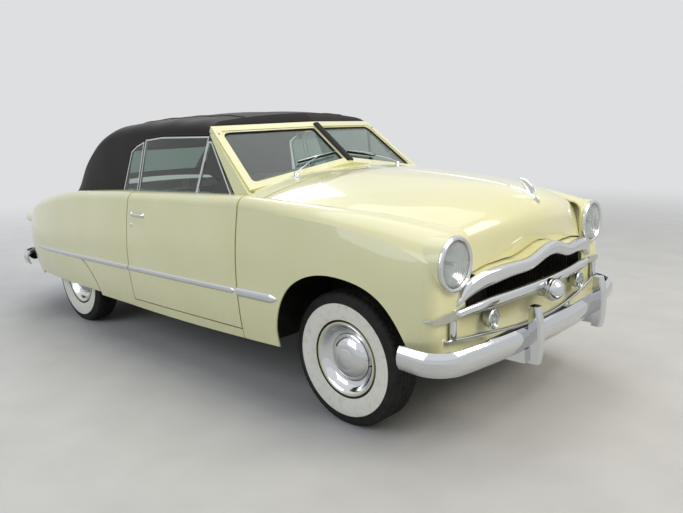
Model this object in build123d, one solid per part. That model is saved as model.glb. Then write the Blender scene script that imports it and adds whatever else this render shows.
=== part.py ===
from build123d import *
import os
from math import cos, radians, sin, sqrt

# A 1950s two-door convertible with its top up, in millimetres.
# +X is forward, +Y is the car's left, +Z is up. The origin is on the floor
# under the middle of the car.
os.makedirs("parts", exist_ok=True)

# Overall sizes
front_axle_x = 1672
wheelbase = 2896
rear_axle_x = front_axle_x - wheelbase
track = 1422
tyre_r = 344
tyre_w = 182
rim_r = 190
wheel_z = tyre_r
bumper_front_x = 2498
bumper_rear_x = -2498

# Walls and gaps
skin = 8
panel_gap = 5
door_gap_front = 11
door_gap_rear = 8
fit_gap = 0.3
pad_gap = 0.3

# Where the body panels part
door_front_x = 1010
door_rear_x = -152
cowl_rear_x = 850
top_rear_x = -1330
rocker_h = 58
deck_front_x = -1500
deck_half_w = 520
deck_low_z = 600
tail_split_y = 625

# Body sections, from the side of the car.
# x, sill y and z, widest y and z, belt y and z, top edge y and z, middle z
FRONT_SECTIONS = [
    (1010, 888, 346, 917, 650, 880, 1060, 806, 1126, 1136),
    (1320, 886, 358, 914, 655, 876, 1052, 780, 1108, 1112),
    (1630, 881, 372, 909, 655, 866, 1032, 722, 1088, 1091),
    (1940, 868, 394, 894, 655, 844, 988, 644, 1058, 1061),
    (2190, 827, 431, 853, 655, 826, 904, 588, 1015, 1018),
]
DOOR_SECTIONS = [
    (-152, 888, 325, 920, 640, 882, 1028, 800, 1094, 1108),
    (235, 889, 326, 921, 643, 884, 1040, 804, 1106, 1118),
    (623, 889, 333, 920, 647, 883, 1051, 806, 1117, 1128),
    (1010, 888, 346, 917, 650, 880, 1060, 806, 1126, 1136),
]
REAR_SECTIONS = [
    (-2350, 622, 432, 668, 630, 632, 765, 480, 822, 846),
    (-1985, 775, 330, 814, 635, 774, 858, 622, 914, 950),
    (-1620, 852, 322, 890, 640, 843, 920, 706, 974, 1010),
    (-1255, 878, 328, 914, 640, 868, 972, 762, 1026, 1050),
    (-885, 886, 327, 918, 640, 878, 1002, 790, 1060, 1080),
    (-518, 888, 325, 920, 640, 881, 1019, 797, 1082, 1097),
    (-152, 888, 325, 920, 640, 882, 1028, 800, 1094, 1108),
]
# Hood sections across the centre line: x, z, lean, half width, drop at the edge
HOOD_SECTIONS = [
    (1150, 1228, 1.9, 794, 110),
    (1278, 1223, 2.4, 786, 111.5),
    (1405, 1217, 3, 768, 113),
    (1600, 1205, 4, 728, 114),
    (1795, 1190, 5.5, 678, 116),
    (1985, 1170, 9, 634, 119),
    (2150, 1138, 18, 592, 121),
    (2268, 1082, 48, 560, 113),
    (2316, 982, 72, 550, 98),
    (2346, 828, 81, 540, 84),
]
COWL_SECTIONS = [
    (850, 1238, 1.6, 801, 104),
    (1141, 1228.4, 1.9, 794.4, 110),
]
# Soft top sections: x, base y and z, shoulder y and z, roof edge y and z, middle z
TOP_SECTIONS = [
    (790, 700, 1150, 672, 1440, 560, 1516, 1545),
    (430, 742, 1120, 690, 1462, 560, 1538, 1574),
    (70, 758, 1105, 698, 1466, 560, 1546, 1583),
    (-290, 764, 1090, 700, 1456, 560, 1538, 1576),
    (-650, 762, 1070, 698, 1420, 560, 1508, 1550),
    (-1010, 752, 1040, 690, 1270, 560, 1360, 1400),
    (-1370, 700, 960, 650, 1000, 540, 1035, 1060),
]

# Front wheel opening, side view: a smooth curve, then its feet
arch_front = [(1300, 445), (1343, 588), (1404, 680), (1521, 759), (1648, 791),
              (1780, 789), (1904, 762), (1992, 714), (2048, 657), (2092, 587), (2128, 505)]
arch_feet = [(2150, 250), (1306, 250)]
# Rear wheel opening under the spear, closed by a skirt that stands a little proud
skirt_gap = 4
skirt_proud = 4
skirt_low_z = 352
skirt_top_z = 576
skirt_front = [(-640, 352), (-704, 470), (-850, 576)]
skirt_rear = [(-1600, 576), (-1718, 480), (-1780, 352)]

# Front of the body
nose_wall_x = 2250
nose_round = 60
# Upper grille moulding in the front view: y, top z and low z of one half
MOULDING = [
    (0, 886, 818),
    (60, 881, 813),
    (120, 864, 798),
    (180, 847, 782),
    (245, 838, 775),
    (310, 839, 774),
    (441, 834, 759),
    (553, 816, 739),
    (612, 790, 718),
    (648, 758, 700),
    (676, 706, 684),
]
# Grille bar in the front view
BAR = [
    (0, 704, 645),
    (318, 702, 645),
    (455, 699, 641),
    (566, 689, 638),
    (690, 674, 637),
]
# Lower grille moulding in the front view
LOWER = [
    (0, 513, 498),
    (346, 527, 512),
    (485, 541, 526),
    (609, 551, 536),
    (725, 561, 546),
    (770, 563, 548),
]

# Doors and lids
door_hinge = (997, 906)
hood_hinge = (960, 1160)
deck_hinge = (-1368, 970)
lid_arm_y = 430
lid_arm_w = 16
lid_pin_r = 6


def body_wire(row, inset=0, drop=0, shift=0):
    """Closed outline across the car at one station, made smaller by inset."""
    x, ys, zs, yw, zw, yb, zb, yt, zt, zm = row
    x += shift
    ys, yw, yb = ys - inset, yw - inset, yb - inset
    zt, zm = zt - inset, zm - inset
    ym = yt + 0.72 * (yb - yt)
    zc = zb + 0.74 * (zt - zb)
    right = [(x, -ys, zs), (x, -yw, zw), (x, -yb, zb), (x, -ym, zc), (x, -yt, zt)]
    left = [(x, -y, z) for x, y, z in right]
    foot = [Line(right[0], left[0])]
    if drop:
        low_right, low_left = (x, -ys, zs - drop), (x, ys, zs - drop)
        foot = [Line(right[0], low_right), Line(low_right, low_left), Line(low_left, left[0])]
    return Wire([
        *foot,
        ThreePointArc(*left[0:3]),
        ThreePointArc(*left[2:5]),
        ThreePointArc(left[4], (x, 0, zm), right[4]),
        ThreePointArc(*right[4:1:-1]),
        ThreePointArc(*right[2::-1]),
    ])


def body_solid(table, inset=0, drop=0, shift_first=0, shift_last=0):
    last = len(table) - 1
    wires = []
    for i, row in enumerate(table):
        shift = shift_first if i == 0 else shift_last if i == last else 0
        wires.append(body_wire(row, inset, drop, shift))
    return Solid.make_loft(wires)


def hood_wire(row, thick):
    x, z, lean, half, sag = row
    up = Vector(sin(radians(lean)), 0, cos(radians(lean)))
    mid = Vector(x, 0, z)

    def at(y, h):
        return mid + Vector(0, y, 0) + up * h

    return Wire([
        ThreePointArc(at(half, -sag), at(0, 0), at(-half, -sag)),
        Line(at(-half, -sag), at(-half, -sag - thick)),
        ThreePointArc(at(-half, -sag - thick), at(0, -thick), at(half, -sag - thick)),
        Line(at(half, -sag - thick), at(half, -sag)),
    ])


def top_wire(row, inset=0, drop=0):
    x, yb, zb, ys, zs, yr, zr, zm = row
    yb, ys, zr, zm, zb = yb - inset, ys - inset, zr - inset, zm - inset, zb - drop
    ym = yr + 0.70 * (ys - yr)
    zc = zs + 0.70 * (zr - zs)
    right = [(x, -yb, zb), (x, -ys, zs), (x, -ym, zc), (x, -yr, zr)]
    left = [(x, -y, z) for x, y, z in right]
    return Wire([
        Line(right[0], left[0]),
        Line(left[0], left[1]),
        ThreePointArc(*left[1:4]),
        ThreePointArc(left[3], (x, 0, zm), right[3]),
        ThreePointArc(*right[3:0:-1]),
        Line(right[1], right[0]),
    ])


def block(x0, x1, y0, y1, z0, z1):
    return Pos((x0 + x1) / 2, (y0 + y1) / 2, (z0 + z1) / 2) * Box(abs(x1 - x0), abs(y1 - y0), abs(z1 - z0))


def side_prism(points, y0, y1):
    """Prism across the car from an outline in the side view (x, z)."""
    face = Face(Wire.make_polygon([(x, y0, z) for x, z in points], close=True))
    return Solid.extrude(face, Vector(0, y1 - y0, 0))


def curve_prism(curve, feet, y0, y1):
    """Prism across the car from a smooth curve in the side view, closed by straight runs over its feet."""
    points = [(x, y0, z) for x, z in curve]
    top = Spline(*points)
    low = Polyline(points[-1], *[(x, y0, z) for x, z in feet], points[0])
    return Solid.extrude(Face(Wire([top, *low.edges()])), Vector(0, y1 - y0, 0))


def skirt_prism(gap, y0, y1):
    """The rear wheel opening in the side view, made smaller by gap."""
    front = [(x - gap, y0, z - (gap if z > skirt_low_z else 0)) for x, z in skirt_front]
    rear = [(x + gap, y0, z - (gap if z > skirt_low_z else 0)) for x, z in skirt_rear]
    foot = Polyline(rear[2], (rear[2][0], y0, 200), (front[0][0], y0, 200), front[0])
    edges = [ThreePointArc(*front), Line(front[2], rear[0]), ThreePointArc(*rear), *foot.edges()]
    return Solid.extrude(Face(Wire(edges)), Vector(0, y1 - y0, 0))


def front_band(table, lift=0, floor=None):
    """Prism along the car from a band in the front view, or from all that lies under its top edge."""
    top = [(y, high + lift) for y, high, low in table]
    low = [(y, low) for y, high, low in table] if floor is None else [(0, floor), (table[-1][0], floor)]
    outline = [(-y, z) for y, z in reversed(top[1:])] + top + low[::-1] + [(-y, z) for y, z in low[1:]]
    face = Face(Wire.make_polygon([(2150, y, z) for y, z in outline], close=True))
    return Solid.extrude(face, Vector(300, 0, 0))


def bow_plate(front_x, end_x, half, back_x, flat_y, z0, z1):
    """Plate across the nose between two arcs in the plan, flat on the nose wall at its ends."""
    front = ThreePointArc((end_x, -half, z0), (front_x, 0, z0), (end_x, half, z0))
    back = ThreePointArc((nose_wall_x, flat_y, z0), (back_x, 0, z0), (nose_wall_x, -flat_y, z0))
    ends = [Polyline((end_x, half, z0), (nose_wall_x, half, z0), (nose_wall_x, flat_y, z0)),
            Polyline((nose_wall_x, -flat_y, z0), (nose_wall_x, -half, z0), (end_x, -half, z0))]
    edges = [front, *ends[0].edges(), back, *ends[1].edges()]
    return Solid.extrude(Face(Wire(edges)), Vector(0, 0, z1 - z0))


def rounded(shape, radius):
    return shape.fillet(radius, shape.edges())


def plan_prism(points, z0, z1):
    face = Face(Wire.make_polygon([(x, y, z0) for x, y in points], close=True))
    return Solid.extrude(face, Vector(0, 0, z1 - z0))


def tube(start, end, radius):
    a, b = Vector(*start), Vector(*end)
    return Plane(origin=a, z_dir=(b - a)) * Pos(0, 0, (b - a).length / 2) * Cylinder(radius, (b - a).length)


def dome_mid(edge, top):
    """Middle point of an arc from (radius, height) to the axis at height top."""
    rise = top - edge[1]
    ball = (edge[0] ** 2 + rise ** 2) / (2 * rise)
    return (edge[0] / 2, top - ball + sqrt(ball ** 2 - edge[0] ** 2 / 4))


def turned(points, arcs):
    """Solid of revolution about the axle from (radius, offset) corners."""
    edges = []
    for i, p in enumerate(points):
        q = points[(i + 1) % len(points)]
        a, b = (p[0], p[1], 0), (q[0], q[1], 0)
        if i in arcs:
            m = (arcs[i][0], arcs[i][1], 0)
            edges.append(ThreePointArc(a, m, b))
        else:
            edges.append(Line(a, b))
    return Solid.revolve(Face(Wire(edges)), 360, Axis.Y)


def both(shape):
    return [shape, mirror(shape, about=Plane.XZ)]


def fuse(shapes):
    out = shapes[0]
    for s in shapes[1:]:
        out = out + s
    return out


def save(name, *shapes):
    solids = []
    for s in shapes:
        solids.extend(s.solids())
    whole = solids[0] if len(solids) == 1 else Compound(children=solids)
    whole.label = name
    export_step(whole, f"parts/{name}.step")


def nose_solid(row, radius, inset=0, drop=0):
    """Rounded end of the fenders: the last section drawn in along a quarter circle."""
    wires = []
    for angle in (0, 30, 60, 90):
        grow = inset + radius * (1 - cos(radians(angle)))
        wires.append(body_wire(row, grow, drop, radius * sin(radians(angle))))
    return Solid.make_loft(wires)


# Body shells
front_out = body_solid(FRONT_SECTIONS) + nose_solid(FRONT_SECTIONS[-1], nose_round)
front_in = body_solid(FRONT_SECTIONS, skin, 200, -5) + nose_solid(FRONT_SECTIONS[-1], nose_round - skin, skin, 200)
door_out = body_solid(DOOR_SECTIONS)
wall_y, wall_top_y = 800, 752
room_pts = [(-wall_y, 0), (-wall_y, 640), (-wall_top_y, 1040), (-wall_top_y, 1400)]
room_pts = room_pts + [(-y, z) for y, z in reversed(room_pts)]
room_face = Face(Wire.make_polygon([(-700, y, z) for y, z in room_pts], close=True))
cabin_room = Solid.extrude(room_face, Vector(1800, 0, 0))
rear_out = body_solid(REAR_SECTIONS)
rear_in = body_solid(REAR_SECTIONS, skin, 200, skin, 5)
hood = Solid.make_loft([hood_wire(row, skin) for row in HOOD_SECTIONS])
cowl_top = Solid.make_loft([hood_wire(row, skin) for row in COWL_SECTIONS], ruled=True)


def hood_edge(gap):
    """Plan outline of the hood, widened by gap, from the cowl to the nose."""
    half = [(row[0] - sin(radians(row[2])) * row[4], row[3] + gap) for row in HOOD_SECTIONS]
    nose_end = (half[7][0] + 160, half[7][1] + 16)
    half = [(COWL_SECTIONS[0][0], COWL_SECTIONS[0][3] + gap)] + half[:8] + [nose_end]
    return half + [(x, -y) for x, y in reversed(half)]


# Hood
hood_cut = plan_prism(hood_edge(panel_gap), 690, 1400)


def lid_arm(hinge, forward, angle, reach, foot_x, foot_z):
    """Bent arm in the side view from a hinge pin, down past the fixed skin's edge and up to the lid."""
    x0, z0 = hinge
    half = lid_arm_w / 2

    def at(r, a):
        return (x0 + forward * r * cos(radians(a)), z0 + r * sin(radians(a)))

    outline = [at(half, angle + 90), at(half, angle - 90), at(reach + lid_arm_w, angle - 5),
               at(reach + lid_arm_w + 14, angle + 30), (foot_x + forward * 50, foot_z - 20),
               (foot_x + forward * 60, foot_z), (foot_x, foot_z), at(reach, angle + 42),
               at(reach, angle + 22), at(reach, angle + 6)]
    arm = side_prism(outline, lid_arm_y - half, lid_arm_y + half)
    pin = tube((x0, lid_arm_y - 22, z0), (x0, lid_arm_y + 22, z0), lid_pin_r)
    return arm + tube((x0, lid_arm_y - half, z0), (x0, lid_arm_y + half, z0), half + 4) + pin


def lid_bracket(hinge, top_z):
    """Two plates under the fixed skin with the pin's hole."""
    x0, z0 = hinge
    half = lid_arm_w / 2 + 1
    plates = block(x0 - 14, x0 + 14, lid_arm_y - half - 10, lid_arm_y + half + 10, z0 - 14, top_z)
    slot = block(x0 - 40, x0 + 40, lid_arm_y - half, lid_arm_y + half, z0 - 40, z0 + 26)
    hole = tube((x0, lid_arm_y - 40, z0), (x0, lid_arm_y + 40, z0), lid_pin_r + fit_gap)
    return plates - slot - hole


hood_arm = lid_arm(hood_hinge, 1, -58, 198, 1168, 1194)
hood = hood - front_band(MOULDING, panel_gap, 500)
hood_full = fuse([hood, *both(hood_arm)])
save("hood", hood_full)

# Front fenders, with the wheel opening and a rim round each headlamp
lamp_x, lamp_y, lamp_z, lamp_r = 2256, 698, 884, 114
arch_cut = curve_prism(arch_front, arch_feet, -960, 960)
grille_open = [(0, 800), (441, 790), (552, 760), (594, 735), (604, 705), (604, 660)]
grille_open = grille_open + [(-y, z) for y, z in reversed(grille_open[1:])]
open_face = Face(Wire.make_polygon([(2100, y, z) for y, z in grille_open], close=True))
grille_cut = Solid.extrude(open_face, Vector(300, 0, 0))
nacelle = Pos(lamp_x - 60, lamp_y, lamp_z) * Rot(0, 90, 0) * Cylinder(lamp_r + 12, 120)
lamp_bore = Pos(lamp_x, lamp_y, lamp_z) * Rot(0, 90, 0) * Cylinder(lamp_r + 2, 400)
nose_split = 470
for side, s in (("left", 1), ("right", -1)):
    half = front_out & block(door_front_x + door_gap_front / 2, 2400, s * nose_split, s * 1000, 200, 1300)
    half = half - front_in - hood_cut - arch_cut - grille_cut
    ring = nacelle if s > 0 else mirror(nacelle, about=Plane.XZ)
    bore = lamp_bore if s > 0 else mirror(lamp_bore, about=Plane.XZ)
    save(f"front_fender_{side}", (half + (ring - hood_cut)) - bore)
valance = (front_out & block(2100, 2400, -nose_split, nose_split, 466, 648)) - front_in
save("front_valance", valance)
pillar_x = door_front_x + door_gap_front / 2
pillar = front_in & block(pillar_x, 1070, 830, 960, 380, 1090)
hinge_x, hinge_y = door_hinge
hinge_heights = (580, 760)
door_pin_r = 3
lug_h = 16
neck_y = hinge_y - 24
lug = block(hinge_x - 4, hinge_x + 5, neck_y - 4, hinge_y, 0, lug_h)
lug = lug + block(hinge_x - 4, pillar_x + 10, neck_y - 4, neck_y + 4, 0, lug_h)
lug = lug + Pos(hinge_x, hinge_y, lug_h / 2) * Cylinder(6, lug_h)
lug = lug - Pos(hinge_x, hinge_y, lug_h / 2) * Cylinder(door_pin_r + fit_gap, 2 * lug_h)
pillar = fuse([pillar] + [Pos(0, 0, z) * lug for z in hinge_heights])
save("hinge_pillars", *both(pillar))

# Headlamps: a chrome ring and a domed lens turned as one piece
lamp_points = [(0, -60), (lamp_r - 14, -60), (lamp_r, -2), (lamp_r, fit_gap), (lamp_r + 10, fit_gap), (lamp_r + 4, 14),
               (lamp_r - 16, 10), (0, 30)]
lamp = turned(lamp_points, {6: dome_mid((lamp_r - 16, 10), 30)})
lamp = Pos(lamp_x, lamp_y, lamp_z) * Rot(0, 0, -90) * lamp
save("headlamps", *both(lamp))

# Doors
door_low = rocker_h
door_x0 = door_rear_x + door_gap_rear
door_x1 = door_front_x - door_gap_front / 2
door_outline = [(door_x0, 325 + door_low), (door_x1, 345 + door_low), (door_x1, 1180), (door_x0, 1180)]
post_foot_x, post_foot_y = 880, 794
door_prism = side_prism(door_outline, wall_top_y, 960)
door = (door_out & door_prism) - cabin_room
door_bevel = plan_prism([(door_x0, 912), (door_x0 + 8, 740), (door_x0 - 9, 740), (door_x0 - 9, 912)], 300, 1200)
door = door - door_bevel - block(post_foot_x - 18, 1100, 700, post_foot_y + 8, 1034, 1300)
for z in hinge_heights:
    notch = block(hinge_x - 12, hinge_x + 40, hinge_y - 38, hinge_y + 6.3, z - 1, z + lug_h + 1)
    door = (door - notch) + Pos(hinge_x, hinge_y, z + lug_h / 2) * Cylinder(door_pin_r, lug_h + 8)
for side, piece in zip(("left", "right"), both(door)):
    save(f"door_{side}", piece)

# Rocker panels under the doors
rocker_in_y = 806
rocker_outline = [(door_rear_x, 300), (door_front_x, 300), (door_front_x, 345 + door_low - panel_gap - 2),
                  (door_rear_x, 325 + door_low - panel_gap - 2)]
rocker = door_out & side_prism(rocker_outline, rocker_in_y, 960)
save("rocker_panels", *both(rocker))

# Quarter panels, skirts, tail panel and deck lid from the rear shell
rear_skin = rear_out - rear_in
cabin_plan = [(door_rear_x + 100, 735), (-900, 735), (top_rear_x + 60, 690), (top_rear_x, 560)]
cabin_plan = cabin_plan + [(x, -y) for x, y in reversed(cabin_plan)]
cabin_cut = plan_prism(cabin_plan, 700, 1300)
deck_plan = [(deck_front_x, deck_half_w - 60), (deck_front_x - 60, deck_half_w), (-2200, deck_half_w - 30),
             (-2400, deck_half_w - 60)]


def deck_outline(gap, front_gap):
    pts = [(x + (front_gap if i == 0 else 0), y + gap) for i, (x, y) in enumerate(deck_plan)]
    return pts + [(x, -y) for x, y in reversed(pts)]


rear_skin = rear_skin - cabin_cut
deck_lid = rear_skin & plan_prism(deck_outline(0, 0), deck_low_z, 1300)
deck_arm = lid_arm(deck_hinge, -1, -62, 146, -1530, 996)
save("deck_lid", fuse([deck_lid, *both(deck_arm)]))
rear_skin = rear_skin - plan_prism(deck_outline(panel_gap, 9), deck_low_z - panel_gap, 1300)
tail = rear_skin & block(-2600, 0, -tail_split_y, tail_split_y, 300, 1300)
tail = fuse([tail, *both(lid_bracket(deck_hinge, 1020))])
plate_bolt_gap, plate_bolt_r, plate_bolt_z = 177.8, 3.5, 560
for bolt_y in (-plate_bolt_gap / 2, plate_bolt_gap / 2):
    tail = tail - tube((-2400, bolt_y, plate_bolt_z), (-2300, bolt_y, plate_bolt_z), plate_bolt_r)
save("tail_panel", tail)
wheel_hole = skirt_prism(0, -960, 960)
under = block(-2600, 0, -1000, 1000, 0, skirt_low_z)
side_skin = rear_skin & block(-2600, 0, tail_split_y, 1000, 0, 1300)
lock_pillar = (rear_out & block(door_rear_x - 90, door_rear_x, 735, 960, 378, 1110)) - cabin_room
quarter = (side_skin - wheel_hole) + lock_pillar
for side, piece in zip(("left", "right"), both(quarter)):
    save(f"quarter_panel_{side}", piece)
skirt = (body_solid(REAR_SECTIONS, -skirt_proud) & skirt_prism(skirt_gap, 700, 960)) - rear_in - under
clip_in = body_solid(REAR_SECTIONS, skin + 12)
for clip_x in (-1500, rear_axle_x, -950):
    box = block(clip_x - 16, clip_x + 16, 800, 960, skirt_top_z - 24, skirt_top_z + 20)
    skirt = skirt + ((rear_in & box) - clip_in)
save("fender_skirts", *both(skirt))

# Side glass plane, leaning in from the belt to the header
belt_y, belt_z = 786, 1112
head_y, head_z = 700, 1440
glass_wall = 6
lean = Plane(origin=(0, belt_y, belt_z), x_dir=(1, 0, 0), z_dir=(0, belt_z - head_z, head_y - belt_y))
pane_h = ((belt_y - head_y) ** 2 + (head_z - belt_z) ** 2) ** 0.5

# Windshield: two flat panes in a vee, in one frame
pane_low_mid = Vector(1010, 0, 1250)
pane_low_out = Vector(960, 738, 1150)
pane_top_mid = Vector(722, 0, 1472)
pane_wide = 668
frame_w, frame_t, glass_t = 46, 40, 6
pane_normal = (pane_top_mid - pane_low_mid).cross(pane_low_out - pane_low_mid) * -1
pane_plane = Plane(origin=pane_low_mid, x_dir=pane_low_out - pane_low_mid, z_dir=pane_normal)
top_drop = pane_top_mid.Z - 8
top_out_x = pane_low_mid.X - (pane_normal.Y * pane_wide + pane_normal.Z * (top_drop - pane_low_mid.Z)) / pane_normal.X
pane_top_out = Vector(top_out_x, pane_wide, top_drop)
pane_pts = [pane_plane.to_local_coords(p) for p in (pane_low_mid, pane_low_out, pane_top_out, pane_top_mid)]
pane_pts = [(p.X, p.Y) for p in pane_pts]
pane_face = make_face(Polyline(*pane_pts, close=True))
outer_face = offset(pane_face, frame_w / 2, kind=Kind.INTERSECTION)
inner_face = offset(pane_face, -frame_w / 2, kind=Kind.INTERSECTION)
frame_half = pane_plane * Pos(0, 0, -frame_t / 2) * (extrude(outer_face, frame_t) - extrude(inner_face, frame_t))
glass_half = pane_plane * Pos(0, 0, -glass_t / 2) * extrude(offset(pane_face, -frame_w / 2 - fit_gap), glass_t)
frame_half = frame_half & block(0, 1400, 0, 900, 900, 1700)
arm_room = block(hood_hinge[0] - 8, hood_hinge[0] + 46, lid_arm_y - 16, lid_arm_y + 16, 1120, hood_hinge[1] + 12)
frame_half = frame_half - arm_room
cowl_side = block(cowl_rear_x, 1070, 700, 745, 900, 1134)
door_room = block(cowl_rear_x - 50, pillar_x, 745, 900, 900, 1300)
cowl_top = cowl_top - both(door_room)[0] - both(door_room)[1]
post_pts = [(900, -14), (1006, 8), (598, 346), (566, 346)]
post_out, post_in = 8, 26
post = lean * Pos(0, 0, -post_out) * extrude(make_face(Polyline(*post_pts, close=True)), post_out + post_in)
post_foot = block(post_foot_x, pillar_x - 10, 700, post_foot_y, 1040, 1126)
cowl = fuse([cowl_top, *both(post), *both(post_foot), *both(frame_half), *both(cowl_side), *both(lid_bracket(hood_hinge, 1198))])
save("cowl", cowl)
save("windshield_glass", *both(glass_half - cowl_top))

# Soft top: a hollow cloth shell with the side windows and the rear window open
cloth = 14
top_out = Solid.make_loft([top_wire(row) for row in TOP_SECTIONS])
top_in = Solid.make_loft([top_wire((row[0] + (20 if i == 0 else 0),) + row[1:], cloth, 200) for i, row in enumerate(TOP_SECTIONS)])
side_window = [(-360, 1050), (-330, 1352), (-250, 1392), (-110, 1432), (60, 1446), (900, 1446), (1100, 1000), (-360, 1000)]
window_cut = side_prism(side_window, -900, 900)
rear_glass_z = (1130, 1330)
rear_glass_y = 430
rear_cut = block(-1600, -700, -rear_glass_y, rear_glass_y, *rear_glass_z)
header_face = offset(outer_face, pad_gap, kind=Kind.INTERSECTION)
header_room = pane_plane * Pos(0, 0, -frame_t / 2 - pad_gap) * extrude(header_face, frame_t + 2 * pad_gap)
ahead = pane_plane * Pos(0, 0, frame_t / 2 + 300) * Box(4000, 4000, 600) & block(0, 2500, 0, 1500, 0, 2500)
bow_depth = 60
bow = pane_plane * Pos(0, 0, frame_t / 2 - bow_depth + 300) * Box(4000, 4000, 600) & block(0, 2500, 0, 1500, 0, 2500)
top_in = top_in - both(bow)[0] - both(bow)[1]
low_cut = side_prism([(900, 1120), (-140, 1090), (-140, 1040), (-1500, 1000), (-1500, 800), (900, 800)], -900, 900)
rear_grown = body_solid(REAR_SECTIONS, -pad_gap)
soft_top = top_out - top_in - window_cut - rear_cut - low_cut - rear_grown
for cutter in (header_room, ahead):
    for piece in both(cutter):
        soft_top = soft_top - piece
save("soft_top", soft_top)
rear_pane = (top_out - top_in) & block(-1600, -700, -rear_glass_y + pad_gap, rear_glass_y - pad_gap, rear_glass_z[0] + pad_gap, rear_glass_z[1] - pad_gap)
save("rear_window", rear_pane)

# Door glass: flat panes leaning in, vent pane and main pane
glass_rear_x = -132
frame_edge, frame_deep = 9, 14
main_pane = [(glass_rear_x, -20), (502, -14), (554, pane_h - 14), (60, pane_h - 14), (glass_rear_x, pane_h - 30)]
vent_pane = [(522, -14), (846, -6), (592, pane_h - 45), (569, pane_h - 45)]
quarter_pane = [(-330, -34), (glass_rear_x - 34, -26), (glass_rear_x - 34, pane_h - 46), (-238, pane_h - 70), (-296, pane_h - 106)]


def pane(points, grow=0, thick=glass_wall):
    face = make_face(Polyline(*points, close=True))
    if grow:
        face = offset(face, grow, kind=Kind.INTERSECTION)
    return lean * Pos(0, 0, -thick / 2) * extrude(face, thick)


def pane_frame(points):
    return pane(points, frame_edge, frame_deep) - pane(points, -fit_gap, 3 * frame_deep)


door_glass = [pane(points, -2 * fit_gap) - door for points in (main_pane, vent_pane)]
door_frame = fuse([pane_frame(main_pane), pane_frame(vent_pane)]) - door
for side, mirrored in (("left", False), ("right", True)):
    panes = [mirror(p, about=Plane.XZ) if mirrored else p for p in door_glass]
    save(f"door_glass_{side}", *panes)
    save(f"window_frames_{side}", mirror(door_frame, about=Plane.XZ) if mirrored else door_frame)
save("quarter_glass", *both(pane(quarter_pane, -2 * fit_gap) - rear_out))
save("quarter_frames", *both(pane_frame(quarter_pane) - rear_out))

# Chassis frame: two rails with a rise over the rear axle, and cross members
rail_y0, rail_y1 = 352, 412
rail_top = [(2180, 470), (1400, 470), (1250, 372), (-772, 372), (-990, 560), (-1480, 560), (-1700, 470), (-2330, 470)]
rail_h = 112
rail_low = [(x, z - rail_h) for x, z in reversed(rail_top)]
rail = side_prism(rail_top + rail_low, rail_y0, rail_y1)
cross = [
    # x0, x1, z0, z1
    (2100, 2170, 370, 460),
    (1602, 1742, 300, 450),
    (560, 640, 290, 360),
    (-640, -560, 290, 360),
    (-1560, -1490, 455, 550),
    (-2320, -2260, 370, 460),
]
members = [block(x0, x1, -rail_y0, rail_y0, z0, z1) for x0, x1, z0, z1 in cross]
shaft_notch = block(-700, 700, -75, 75, 322, 400)
frame = fuse([*both(rail), *members]) - shaft_notch
save("chassis_frame", frame)

# Engine as one plain block, and the radiator in front of it
gearbox_x = 700
save("engine_block", block(1085, 1640, -265, 265, 450, 930) + block(gearbox_x, 1085, -105, 105, 376, 500))
save("radiator", block(2060, 2130, -300, 300, 460, 900))

# Inner aprons and firewall
apron_y = 424
apron = block(door_front_x + 60, 2242, apron_y, apron_y + 6, 475, 800)
ledge = block(door_front_x + 60, 2060, apron_y, 580, 800, 806)
splash = block(1230, 1236, apron_y + 6, 840, 372, 800)
firewall = block(door_front_x + 60, door_front_x + 68, -850, 850, 372, 1090) - block(0, 2000, -120, 120, 300, 520)
for s in (1, -1):
    firewall = firewall - block(0, 2000, s * lid_arm_y - 16, s * lid_arm_y + 16, 950, 1100)
save("inner_panels", fuse([firewall, *both(apron), *both(ledge), *both(splash)]))

# Floor: two halves, the tunnel cover between them, the boot floor and the wheelhouses
floor_z = 372
floor_t = 6
tunnel_w, tunnel_h = 260, 150
tunnel_y = tunnel_w / 2 + floor_t
floor_rear_x = -766
floor_front_x = 1070
boot_z = 470
step_z = 620
house_z = 770
house_rear_x = -1640
wheelhouse_y = 560
floor_half = block(floor_rear_x, floor_front_x, tunnel_y, rocker_in_y, floor_z, floor_z + floor_t)
riser = block(floor_rear_x, floor_rear_x + floor_t, tunnel_y, rocker_in_y, floor_z, step_z)
save("floor_pan", *both(floor_half + riser))
tunnel = block(floor_rear_x, floor_front_x, -tunnel_y, tunnel_y, floor_z, floor_z + tunnel_h)
tunnel_room = block(floor_rear_x - 1, floor_front_x + 1, -tunnel_w / 2, tunnel_w / 2, 0, floor_z + tunnel_h - floor_t)
tunnel_riser = block(floor_rear_x, floor_rear_x + floor_t, -tunnel_y, tunnel_y, floor_z + tunnel_h, step_z)
save("tunnel_cover", tunnel + tunnel_riser - tunnel_room)
BOOT_BOXES = [
    # x0, x1, z0, z1
    (-1700, floor_rear_x, step_z - floor_t, step_z),
    (-1706, -1700, boot_z, step_z),
    (-2342, -1706, boot_z, boot_z + floor_t),
]
save("boot_floor", fuse([block(x0, x1, -wheelhouse_y, wheelhouse_y, z0, z1) for x0, x1, z0, z1 in BOOT_BOXES]))
HOUSE_BOXES = [
    # x0, x1, y0, y1, z0, z1
    (house_rear_x, floor_rear_x, wheelhouse_y, wheelhouse_y + floor_t, step_z - floor_t, house_z),
    (house_rear_x, floor_rear_x, wheelhouse_y, 830, house_z - floor_t, house_z),
    (house_rear_x - floor_t, house_rear_x, wheelhouse_y, 830, boot_z, house_z),
]
save("wheelhouses", *both(fuse([block(*row) for row in HOUSE_BOXES])))

# Wheels and tyres
spindle_r = 22


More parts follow.
